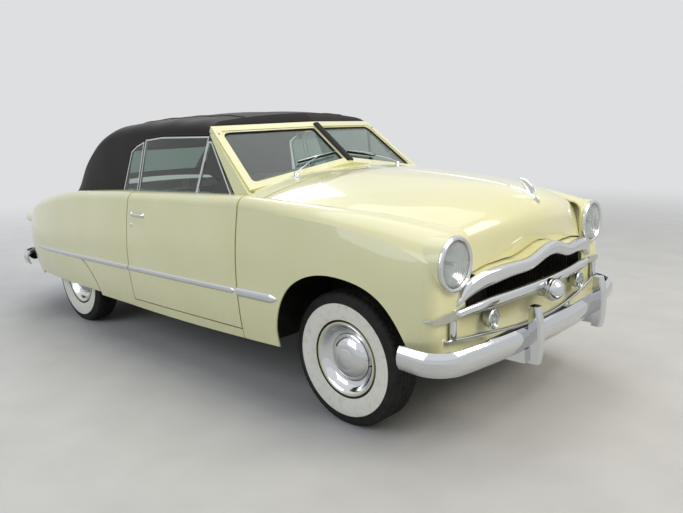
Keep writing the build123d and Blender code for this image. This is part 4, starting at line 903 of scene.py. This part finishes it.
# door handles: a grip between two feet, a lock under it, seated on the door by rays
handle = {
    "x": -0.014, "z": 0.956, "half": 0.085, "proud": 0.0135, "footIn": 0.008, "footSunk": 0.006, "lockX": -0.084,
    "lockZ": 0.888, "lockReach": 0.02, "doorRear": -0.140, "clear": 0.0005, "radius": 0.0055, "squash": 1.5,
    "least": 0.75, "grow": 0.35,
    "foot": [(pin, 0.006), (0.012, 0.004), (0.017, -0.002), (0.019, -0.006), (pin, -0.008)],
    "lock": [(pin, 0.0032), (0.0035, 0.0032), (0.0038, 0.0042), (0.009, 0.0045), (0.0125, 0.002), (0.013, -0.003),
             (pin, -0.003)],
}
for side, s in sides.items():
    door, out = f"door_{side}", (0, s, 0)
    grip = np.linspace(-handle["half"], handle["half"], 33)
    ends = np.clip(1 - (np.abs(grip) / handle["half"]) ** 6, 0, 1)
    line = sideLine([door], np.clip(handle["x"] + grip, handle["doorRear"], 1), handle["z"], s)
    line[:, 0] = handle["x"] + grip
    line[:, 1] += s * (handle["clear"] + handle["proud"] * ends)
    grid = sweep(line, zAxis, circle(handle["radius"], 14, handle["squash"]), handle["least"] + handle["grow"] * ends)
    piece(f"handle_grip_{side}", grid, chrome, door)
    for tag, way in (("front", 1), ("rear", -1)):
        near = np.abs(grip - way * (handle["half"] - handle["footIn"])).argmin()
        foot = line[near] - [0, s * handle["footSunk"], 0]
        lathe(f"handle_foot_{tag}_{side}", handle["foot"], foot, out, 28, chrome, door)
    x = handle["lockX"] + handle["lockReach"] * np.linspace(-1, 1, 7)
    lock = sideLine([door], x, handle["lockZ"], s)[3]
    lathe(f"door_lock_{side}", handle["lock"], lock, out, 28, chrome, door)
print("handles done")


def puffed(name, low, high, corner, channels):
    # block with rounded edges, remeshed, blown up by cloth pressure with each point's move capped, then sewn
    # channels pressed in: depth e^(-(distance / width)^2) where the face looks along the axis
    mesh = bpy.data.meshes.new(name)
    bm = bmesh.new()
    bmesh.ops.create_cube(bm, size=1.0)
    low, high = np.array(low, float), np.array(high, float)
    for v in bm.verts:
        v.co = Vector((low + high) / 2 + np.array(v.co) * (high - low))
    bmesh.ops.bevel(bm, geom=bm.edges[:], offset=corner, segments=4, affect="EDGES", profile=0.5)
    bm.to_mesh(mesh)
    bm.free()
    obj = bpy.data.objects.new(name, mesh)
    bpy.context.scene.collection.objects.link(obj)
    remesh = obj.modifiers.new("remesh", "REMESH")
    remesh.mode, remesh.voxel_size = "VOXEL", pad["voxel"]
    mesh = baked(obj)
    obj.modifiers.clear()
    obj.data = mesh
    start = perPoint(mesh, "co")
    moved = start.copy()
    soft = obj.modifiers.new("cloth", "CLOTH")
    soft.settings.use_pressure = True
    soft.settings.uniform_pressure_force = pad["pressure"]
    soft.settings.effector_weights.gravity = 0
    for f in range(1, pad["frames"] + 1):
        bpy.context.scene.frame_set(f)
    shape = baked(obj)
    moved = perPoint(shape, "co")
    obj.modifiers.clear()
    bpy.context.scene.frame_set(1)
    bpy.data.meshes.remove(shape)
    move = moved - start
    length = np.linalg.norm(move, axis=1)[:, None]
    moved = start + move * np.minimum(1, pad["cap"] / np.maximum(length, 1e-9))
    axis, depth = channels
    groove = np.abs((moved[:, 1] / pad["pitch"] + 0.5) % 1 - 0.5) * pad["pitch"]
    sewn = np.exp(-(groove / pad["width"]) ** 2) * np.clip((perPoint(mesh, "normal")[:, axis] - 0.25) / 0.35, 0, 1)
    moved[:, axis] -= depth * sewn
    mesh.vertices.foreach_set("co", moved.astype(np.float32).reshape(-1))
    mesh.materials.append(leather)
    mesh.polygons.foreach_set("use_smooth", [True] * len(mesh.polygons))
    mesh.update()
    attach(obj, "body")
    return obj


# seats: channels sewn fore and aft on the cushions and upright on the backs, plain lower fronts
pad = {"voxel": 0.011, "cap": 0.014, "pressure": 4, "frames": 20, "pitch": 0.083, "width": 0.012}
seats = {
    # low and high corner, edge radius, channels' axis and depth, CAD node
    "front_cushion": ((-0.405, -0.625, 0.533), (0.105, 0.625, 0.628), 0.034, (2, 0.010), "front_seat"),
    "front_back": ((-0.548, -0.625, 0.545), (-0.432, 0.625, 0.992), 0.040, (0, 0.009), None),
    "rear_cushion": ((-1.105, -0.530, 0.633), (-0.795, 0.530, 0.728), 0.032, (2, 0.010), "rear_seat"),
    "rear_back": ((-1.228, -0.530, 0.634), (-1.133, 0.530, 0.985), 0.034, (0, 0.009), None),
}
for name, (*block, node) in seats.items():
    cushion = puffed(f"seat_{name}", *block)
    if node:
        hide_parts(node)


def slab(name, low, high, corner, mat, axis=2, body="body"):
    # rounded bar: a superellipse profile carried along one axis, its ends drawn in
    low, high = np.sort(np.array([low, high], float), axis=0)
    u, v = [k for k in range(3) if k != axis]
    t = turns(48)
    middle, half = (low + high) / 2, (high - low) / 2
    cu, cv = (np.sign(f) * np.abs(f) ** 0.22 for f in (np.cos(t), np.sin(t)))
    quarter = np.linspace(0, math.pi / 2, 6)
    drawn, full = corner / half[axis] * (1 - np.cos(quarter)), np.sin(quarter)
    steps = np.concatenate([-1 + drawn, 1 - drawn[::-1]])
    shrink = corner * (1 - np.concatenate([full, full[::-1]]))
    grid = np.empty((len(steps), len(t), 3))
    grid[..., u] = middle[u] + (half[u] - shrink)[:, None] * cu
    grid[..., v] = middle[v] + (half[v] - shrink)[:, None] * cv
    grid[..., axis] = (middle[axis] + half[axis] * steps)[:, None]
    return piece(name, grid, mat, body, sharp=50)


seatBase = {"low": (-0.39, 0.16, 0.379), "high": (0.085, 0.60, 0.54), "corner": 0.008}
for side, s in sides.items():
    low, high = (np.array(seatBase[k]) * [1, s, 1] for k in ("low", "high"))
    slab(f"seat_base_{side}", low, high, seatBase["corner"], leather)

# door and side cards: pressed panels with upright tucks over a plain kick panel, a bright bead, crank, pull and rest
card = {
    "low": 0.40, "high": 1.028, "door": (-0.128, 0.845), "rear": (-0.745, -0.262), "thick": 0.006, "tuck": 0.05,
    "tuckDepth": 0.003, "tuckWide": 0.005, "beadZ": 0.66, "wallY": 0.7985, "bendZ": 0.64, "lean": 0.12,
    "hub": [(pin, 0.016), (0.009, 0.015), (0.014, 0.010), (0.020, 0.003), (0.022, -0.004), (pin, -0.004)],
    "knob": [(pin, 0.026), (0.008, 0.024), (0.0105, 0.016), (0.009, 0.006), (0.006, 0.0), (pin, 0.0)],
    "tuckGap": (0.012, 0.06), "beadRadius": 0.0045, "beadOff": 0.001, "hubOff": 0.002, "rises": (0.010, 0.006, 0.022),
    "arm": 0.006, "rest": ((0.02, 0.735, 0.675), (0.33, 0.782, 0.715)), "restCorner": 0.012,
    # x, z, turn in degrees and reach
    "levers": {"crank": (0.42, 0.78, -35, 0.10), "latch": (0.22, 0.86, 200, 0.075)},
}
z = np.linspace(card["low"], card["high"], 36)
wallY = np.where(z < card["bendZ"], card["wallY"], card["wallY"] - (z - card["bendZ"]) * card["lean"])
tucked = (z > card["beadZ"] + card["tuckGap"][0]) & (z < card["high"] - card["tuckGap"][1])
for side, s in sides.items():
    door, inwards = f"door_{side}", (0, -s, 0)
    for label, body in (("door", door), ("rear", "body")):
        x = np.linspace(*card[label], 160)
        off = np.abs((x / card["tuck"]) % 1 - 0.5) * card["tuck"]
        tuck = card["tuckDepth"] * np.exp(-(off / card["tuckWide"]) ** 2)[:, None] * tucked
        front = np.stack(np.broadcast_arrays(x[:, None], s * (wallY - card["thick"] + tuck), z), -1)
        rear = np.stack(np.broadcast_arrays(x[:, None], s * wallY, z), -1)[:, ::-1]
        piece(f"{label}_card_{side}", np.concatenate([front, rear], 1), leather, body, sharp=60)
        beadY = s * (np.interp(card["beadZ"], z, wallY) - card["thick"] - card["beadOff"])
        line = np.stack(np.broadcast_arrays(x, beadY, card["beadZ"]), 1)
        piece(f"{label}_card_bead_{side}", sweep(line, inwards, circle(card["beadRadius"], 10, 0.8)), chrome, body)
    for label, (cx, cz, turn, reach) in card["levers"].items():
        hub = np.array([cx, s * (np.interp(cz, z, wallY) - card["thick"] - card["hubOff"]), cz])
        lathe(f"{label}_hub_{side}", card["hub"], hub, inwards, 28, chrome, door)
        a = math.radians(turn)
        rise = [np.array([0, -s * r, 0]) for r in card["rises"]]
        tip = hub + [math.cos(a) * reach, 0, math.sin(a) * reach] + rise[2]
        line = spread([hub + rise[0], (hub + tip) / 2 + rise[1], tip], 16)
        piece(f"{label}_arm_{side}", sweep(line, inwards, circle(card["arm"], 10, 0.6)), chrome, door)
        if label == "crank":
            lathe(f"crank_knob_{side}", card["knob"], tip, inwards, 24, ivory, door, sharp=60)
    low, high = np.array(card["rest"]) * [1, s, 1]
    slab(f"arm_rest_{side}", low, high, card["restCorner"], leather, 0, door)
print("cabin sides done")

# dashboard: round speedometer, clock, speaker bars, knobs
dash = {
    "faceX": 0.8485, "faces": (-1, 0, 0), "bars": 11, "barsTo": 0.10, "barX": (0.8405, 0.8500), "barHalf": 0.0035,
    "barZ": (0.915, 0.985), "barCorner": 0.002, "knobs": (-0.20, -0.15, 0.14, 0.20, 0.52), "knobZ": 0.945,
    # y, z, radius, tick angles in degrees
    "dials": {"speed": (0.37, 1.015, 0.066, np.linspace(-40, 220, 27)),
              "clock": (0.0, 1.035, 0.032, np.linspace(0, 330, 12))},
    "bezel": [(1.0, 0.0), (1.06, 0.004), (1.04, 0.009), (0.97, 0.0105), (0.94, 0.004), (0.94, 0.0)],
    "tick": ((0.76, -1), (0.76, 1), (0.89, 1), (0.89, -1)), "tickHalf": 0.014, "handTurn": 2.4, "handLong": 0.72,
    "knob": [(pin, 0.022), (0.009, 0.021), (0.012, 0.016), (0.010, 0.006), (0.0055, 0.0), (pin, 0.0)],
}
for tag, (cy, cz, r, degrees) in dash["dials"].items():
    centre = np.array([dash["faceX"], cy, cz])
    lathe(f"dial_bezel_{tag}", [(a * r, b) for a, b in dash["bezel"]], centre, dash["faces"], 72, chrome, ring=True)
    disc = [(pin, 0.003), (0.955 * r, 0.003), (0.955 * r, 0.0), (pin, 0.0)]
    lathe(f"dial_face_{tag}", disc, centre, dash["faces"], 72, rubber, "body", sharp=30)
    ticks = []
    for a in np.radians(degrees):
        ray, sidewise = np.array([0, math.cos(a), math.sin(a)]), np.array([0, -math.sin(a), math.cos(a)])
        base = centre + [-0.0034, 0, 0]
        ends = np.array([base + ray * r * f + sidewise * r * dash["tickHalf"] * g for f, g in dash["tick"]])
        ticks.append(np.array([ends, ends + [0.0006, 0, 0]]))
    piece(f"dial_ticks_{tag}", ticks, ivory, sharp=20)
    hand, a = centre + [-0.0045, 0, 0], dash["handTurn"]
    line = [hand, hand + np.array([0, math.cos(a), math.sin(a)]) * r * dash["handLong"]]
    piece(f"dial_hand_{tag}", sweep(line, dash["faces"], circle(r * 0.018, 8, 0.4), [1, 0.4]), redLens)
for k, y in enumerate(np.linspace(-dash["barsTo"], dash["barsTo"], dash["bars"])):
    low, high = ((x, y + way * dash["barHalf"], z) for x, way, z in zip(dash["barX"], (-1, 1), dash["barZ"]))
    slab(f"speaker_bar_{k}", low, high, dash["barCorner"], chrome)
for k, y in enumerate(dash["knobs"]):
    lathe(f"dash_knob_{k}", dash["knob"], (dash["faceX"], y, dash["knobZ"]), dash["faces"], 24, ivory, sharp=60)

# steering wheel's horn ring and button, gear lever, mirror, pedals
control = {
    "wheelAt": (0.450, 0.370, 0.962), "columnFrom": (1.0595, 0.370, 0.689), "hubOff": 0.0123, "ringOff": 0.016,
    "ring": 0.135, "ringWire": 0.0038, "spoke": (0.02, 0.134),
    "button": [(pin, 0.031), (0.014, 0.029), (0.024, 0.022), (0.030, 0.014), (0.031, 0.008), (pin, 0.008)],
    "lever": [(0.520, 0.350, 0.930), (0.505, 0.290, 0.950), (0.480, 0.215, 0.985)],
    "gearKnob": [(pin, -0.012), (0.008, -0.009), (0.0115, 0.0), (0.009, 0.009), (pin, 0.013)],
    "mirror": ((0.655, -0.105, 1.388), (0.667, 0.105, 1.436)),
    "mirrorStem": [(0.668, 0, 1.415), (0.690, 0, 1.432), (0.712, 0, 1.458)],
    "pedalX": (0.955, 0.968), "pedalTall": 0.035, "pedalCorner": 0.004, "pedalArm": 0.006,
    "armRise": ((0.966, 0), (1.01, 0.02), (1.066, 0.05)),
    # y, half width and z
    "pedals": {"clutch": (0.47, 0.030, 0.52), "brake": (0.36, 0.034, 0.52), "throttle": (0.24, 0.022, 0.47)},
}
column = np.array(control["wheelAt"]) - control["columnFrom"]
column /= np.linalg.norm(column)
wheelCentre = control["wheelAt"] + column * control["hubOff"]
hornAt = wheelCentre + column * control["ringOff"]
e2 = np.cross(column, yAxis)
t = turns(72)[:, None]
ray = np.cos(t) * yAxis + np.sin(t) * e2
tube = [hornAt + control["ring"] * ray + control["ringWire"] * (math.cos(a) * ray + math.sin(a) * column)
        for a in turns(10)]
piece("horn_ring", np.stack(tube, 1), chrome, "steering_wheel", wrapU=True)
lathe("horn_button", control["button"], wheelCentre, column, 48, chrome, "steering_wheel")
for k, turn in enumerate((0.0, math.pi)):
    ray = math.cos(turn) * yAxis + math.sin(turn) * e2
    line = [hornAt + ray * f for f in control["spoke"]]
    piece(f"horn_spoke_{k}", sweep(line, column, circle(0.0045, 8, 0.5)), chrome, "steering_wheel")
lever = spread(control["lever"], 20)
piece("gear_lever", sweep(lever, zAxis, circle(0.0045, 10)), chrome)
lathe("gear_knob", control["gearKnob"], lever[-1], lever[-1] - lever[-2], 24, ivory, sharp=60)
slab("cabin_mirror", *control["mirror"], 0.005, chrome, 1)
piece("cabin_mirror_stem", sweep(control["mirrorStem"], yAxis, circle(0.005, 10)), chrome)
for name, (py, wide, pz) in control["pedals"].items():
    low, high = ((x, py + way * wide, pz + way * control["pedalTall"]) for x, way in zip(control["pedalX"], (-1, 1)))
    slab(f"pedal_{name}", low, high, control["pedalCorner"], rubber, 1)
    line = [(x, py, pz + rise) for x, rise in control["armRise"]]
    piece(f"pedal_arm_{name}", sweep(line, yAxis, circle(control["pedalArm"], 8)), iron, "body")
print("controls done")

# deck handle seated on the lid by a ray, tail pipe, coil springs
deck = {
    "from": (-2.9, 0.0, 0.700), "axis": (-1, 0, 0.1),
    "foot": [(pin, 0.010), (0.014, 0.009), (0.021, 0.004), (0.024, -0.004), (pin, -0.004)],
    "grip": ([-0.012, 0, 0.0], [-0.022, 0, 0.012], [-0.024, 0, 0.040], [-0.016, 0, 0.062]),
}
at = onPanel(["deck_lid"], [deck["from"]], xAxis)[0][0]
lathe("deck_handle_foot", deck["foot"], at, deck["axis"], 32, chrome, "deck_lid")
line = spread([at + step for step in deck["grip"]], 20)
piece("deck_handle_grip", sweep(line, yAxis, circle(0.008, 14, 1.5), np.linspace(0.9, 0.75, 20)), chrome, "deck_lid")
pipe = {
    "line": [(-0.640, -0.250, 0.262), (-0.85, -0.262, 0.262), (-1.05, -0.290, 0.268), (-1.40, -0.335, 0.272),
             (-1.75, -0.372, 0.272), (-2.10, -0.384, 0.276), (-2.43, -0.386, 0.280)], "radius": 0.021, "bore": 0.019,
}
outer, inner = (sweep(spread(pipe["line"], 80), zAxis, circle(pipe[k], 20)) for k in ("radius", "bore"))
piece("tail_pipe", np.concatenate([outer, inner[::-1]]), iron, wrapU=True, sharp=60)
coil = {"x": 1.672, "y": 0.505, "low": 0.262, "high": 0.428, "radius": 0.045, "wire": 0.0065, "turns": 6,
        "seat": [(pin, 0.0), (0.085, 0.0), (0.085, 0.005), (pin, 0.005)], "seatZ": {"low": 0.2535, "high": 0.4305}}
t = np.linspace(0, 1, 220)
angle = fullTurn * coil["turns"] * t
for side, s in sides.items():
    line = np.stack([coil["x"] + coil["radius"] * np.cos(angle), s * coil["y"] + coil["radius"] * np.sin(angle),
                     coil["low"] + (coil["high"] - coil["low"]) * t], 1)
    piece(f"coil_spring_{side}", sweep(line, zAxis, circle(coil["wire"], 8)), chassisBlack)
    for tag, z in coil["seatZ"].items():
        lathe(f"spring_seat_{tag}_{side}", coil["seat"], (coil["x"], s * coil["y"], z), zAxis, 40, chassisBlack,
              sharp=30)
print("underside done")

# hood strip down the middle and the mascot: a low wedge with a swept blade
mascot = {
    "stripX": (1.165, 2.118), "strip": (0.008, 0.0045), "wedgeX": (2.113, 2.284), "wide": (0.005, 0.0125),
    "high": (0.005, 0.020), "blade": [(2.236, 0, 1.118), (2.226, 0, 1.145), (2.204, 0, 1.170), (2.174, 0, 1.186)],
    "chord": [(0.0065, 0.030), (0.0048, 0.024), (0.0032, 0.017), (0.0012, 0.006)],
    "section": [(-1, -0.4), (-0.95, 0.3), (-0.6, 0.8), (0, 1), (0.6, 0.8), (0.95, 0.3), (1, -0.4)],
}
x = np.linspace(*mascot["stripX"], 60)
end = np.sqrt(np.clip(np.minimum(x - x[0], x[-1] - x) / 0.02, 0.03, 1))
line = np.stack([x, 0 * x, hoodLine(x, 5)], 1)
piece("hood_strip", sweep(line, zAxis, mascot["section"], end[:, None] * mascot["strip"]), chrome, "hood", sharp=50)
x = np.linspace(*mascot["wedgeX"], 60)
part = (x - x[0]) / (x[-1] - x[0])
end = np.sqrt(np.clip((x[-1] - x) / 0.022, 0.02, 1)) * np.sqrt(np.clip((x - x[0]) / 0.01, 0.05, 1))
wide, high = (end * (mascot[k][0] + (mascot[k][1] - mascot[k][0]) * part) for k in ("wide", "high"))
line = np.stack([x, 0 * x, hoodLine(x, 4) + 0.25 * high], 1)
wedge = piece("mascot_wedge", sweep(line, zAxis, circle(1.0, 32), np.stack([wide, high], 1)), chrome, "hood")
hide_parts("hood_ornament")
t = np.linspace(0, 1, 24)
grow = np.stack([np.interp(t, np.linspace(0, 1, 4), chord) for chord in np.array(mascot["chord"]).T], 1)
piece("mascot_blade", sweep(spread(mascot["blade"], 24), xAxis, circle(1.0, 24), grow), chrome, "hood")
print("hood trim done")

# tail pods: body colour, chrome ring, ribbed red lens; along runs from the pod's front, or back from its rear end
pod = {"from": (-2.080, 0.716, 0.742), "to": (-2.360, 0.668, 0.736), "radius": 0.0378}
for side, s in sides.items():
    a, b = (np.array(pod[k]) * [1, s, 1] for k in ("from", "to"))
    axis, length, r = b - a, np.linalg.norm(b - a), pod["radius"]
    shell = [(pin, 0.0), (r * 0.5, 0.002), (r * 0.8, 0.015), (r * 0.97, 0.06), (r, 0.12), (r * 0.99, length - 0.044),
             (0.030, length - 0.042), (pin, length - 0.041)]
    rim = [(0.029, 0.046), (r, 0.046), (r + 0.0001, 0.034), (r * 0.97, 0.026), (r * 0.86, 0.023), (0.0295, 0.028)]
    bulb = [(pin, 0.030), (0.0292, 0.030), (0.0305, 0.024), (0.027, 0.013), (0.018, 0.005), (0.0085, 0.0008),
            (pin, 0)]
    rim, bulb = ([(out, length - back) for out, back in line] for line in (rim, bulb))
    obj = lathe(f"tail_pod_{side}", shell, a, axis, 64, paint, sharp=35)
    if s > 0:
        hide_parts("tail_lamps")
    lathe(f"tail_rim_{side}", rim, a, axis, 64, chrome, ring=True)
    lathe(f"tail_lens_{side}", bulb, a, axis, 48, redLens, sharp=60)
print("tail lamps done")


def seenRays(tree):
    # 1 for rays from the camera, off gloss and through glass: the largest of the three flags
    rays = addNode(tree, "ShaderNodeLightPath").outputs
    seen = rays["Is Camera Ray"]
    for kind in ("Is Glossy Ray", "Is Transmission Ray"):
        seen = addNode(tree, "ShaderNodeMath", links={0: seen, 1: rays[kind]}, operation="MAXIMUM").outputs["Value"]
    return seen


# studio: a pale painted sweep that far from the object shows its own colour to the camera, to chrome and to glass
studio = {"radius": 26.0, "bend": 9.0, "wall": 10.0, "low": -0.001, "flat": 12.0, "glow": "#DEDFE0",
          "sky": "#EEF2F8", "skyStrength": 0.38, "backdrop": "#F4F5F6"}
floorMat, skin = newMaterial("studioFloor", "#C9C9C6", 0.75)
colourBy(skin, texture(skin, "Noise", {"Scale": 3.0, "Detail": 6.0}), (0.3, "#C6C6C3"), (0.7, "#CECECB"))
tree, shader, place = skin
reach = addNode(tree, "ShaderNodeVectorMath", links={0: place}, operation="LENGTH")
far = addNode(tree, "ShaderNodeMapRange", {"From Min": 4.0, "From Max": 11.0}, {"Value": reach.outputs["Value"]},
              interpolation_type="SMOOTHSTEP")
share = addNode(tree, "ShaderNodeMath", links={0: seenRays(tree), 1: far.outputs["Result"]}, operation="MULTIPLY")
glow = addNode(tree, "ShaderNodeEmission", {"Color": hexToLinear(studio["glow"]), "Strength": 1.0})
mixed = addNode(tree, "ShaderNodeMixShader", links={
    0: share.outputs["Value"], 1: shader.outputs["BSDF"], 2: glow.outputs["Emission"]})
tree.links.new(mixed.outputs["Shader"], tree.nodes["Material Output"].inputs["Surface"])
radius, bend, low = studio["radius"], studio["bend"], studio["low"]
run = chain([(0.0, low), (studio["flat"], low), (radius - bend, low)],
            arc((radius - bend, low), (radius - bend * 0.293, bend * 0.293), (radius, bend), 14),
            [(radius, bend), (radius, studio["wall"])])
floor = piece("studio_floor", turned(run, (0, 0, 0), zAxis, 96), floorMat, None, wrapU=True, wrapV=False, shut=False)
floor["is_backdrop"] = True

# pale sky: dim as a lamp, bright where it is seen
scene = bpy.context.scene
scene.view_settings.view_transform = "Standard"
world = bpy.data.worlds.new("studioWorld")
scene.world = world
world.use_nodes = True
tree = world.node_tree
sky = tree.nodes["Background"]
sky.inputs["Color"].default_value = hexToLinear(studio["sky"])
sky.inputs["Strength"].default_value = studio["skyStrength"]
backdrop = addNode(tree, "ShaderNodeBackground", {"Color": hexToLinear(studio["backdrop"]), "Strength": 1.0})
blend = addNode(tree, "ShaderNodeMixShader", links={
    0: seenRays(tree), 1: sky.outputs["Background"], 2: backdrop.outputs["Background"]})
tree.links.new(blend.outputs["Shader"], tree.nodes["World Output"].inputs["Surface"])

# four soft lamps, all turned to the object's middle
lamps = {
    "keyLamp": {"at": (7.5, 1.5, 6.5), "size": 4.5, "power": 430, "tint": "#FFF6E6"},
    "sideLamp": {"at": (-1.0, -8.5, 5.5), "size": 6.0, "power": 230, "tint": "#EAF1FF"},
    "rearLamp": {"at": (-7.5, 4.0, 5.5), "size": 5.0, "power": 260, "tint": "#F2F5FF"},
    "topLamp": {"at": (0.0, 0.5, 8.0), "size": 7.0, "power": 170, "tint": "#FFFFFF"},
}
lampsTo = (0, 0, 0.6)
for name, lamp in lamps.items():
    data = bpy.data.lights.new(name, "AREA")
    data.energy, data.size, data.color = lamp["power"], lamp["size"], hexToLinear(lamp["tint"])[:3]
    obj = bpy.data.objects.new(name, data)
    obj.location = lamp["at"]
    obj.rotation_euler = (Vector(lampsTo) - Vector(lamp["at"])).to_track_quat("-Z", "Y").to_euler()
    scene.collection.objects.link(obj)

# the photograph's viewpoint, from its wheels, track and wheelbase
camera = {"at": (3.7754, -2.9760, 1.4944), "yaw": 43.8, "down": 11.72, "roll": -1.95, "lens": 34.21}
yaw, down, roll = (math.radians(camera[k]) for k in ("yaw", "down", "roll"))
back = Vector((math.sin(yaw) * math.cos(down), -math.cos(yaw) * math.cos(down), math.sin(down)))
right = (-back).cross(Vector((0, 0, 1))).normalized()
up = right.cross(-back)
camRight = right * math.cos(roll) + up * math.sin(roll)
camUp = up * math.cos(roll) - right * math.sin(roll)
camData = bpy.data.cameras.new("camera")
camData.lens, camData.sensor_width, camData.clip_end = camera["lens"], 36.0, 200.0
cam = bpy.data.objects.new("camera", camData)
cam.matrix_world = Matrix((camRight, camUp, back)).transposed().to_4x4()
cam.location = camera["at"]
scene.collection.objects.link(cam)
scene.camera = cam

low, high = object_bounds()
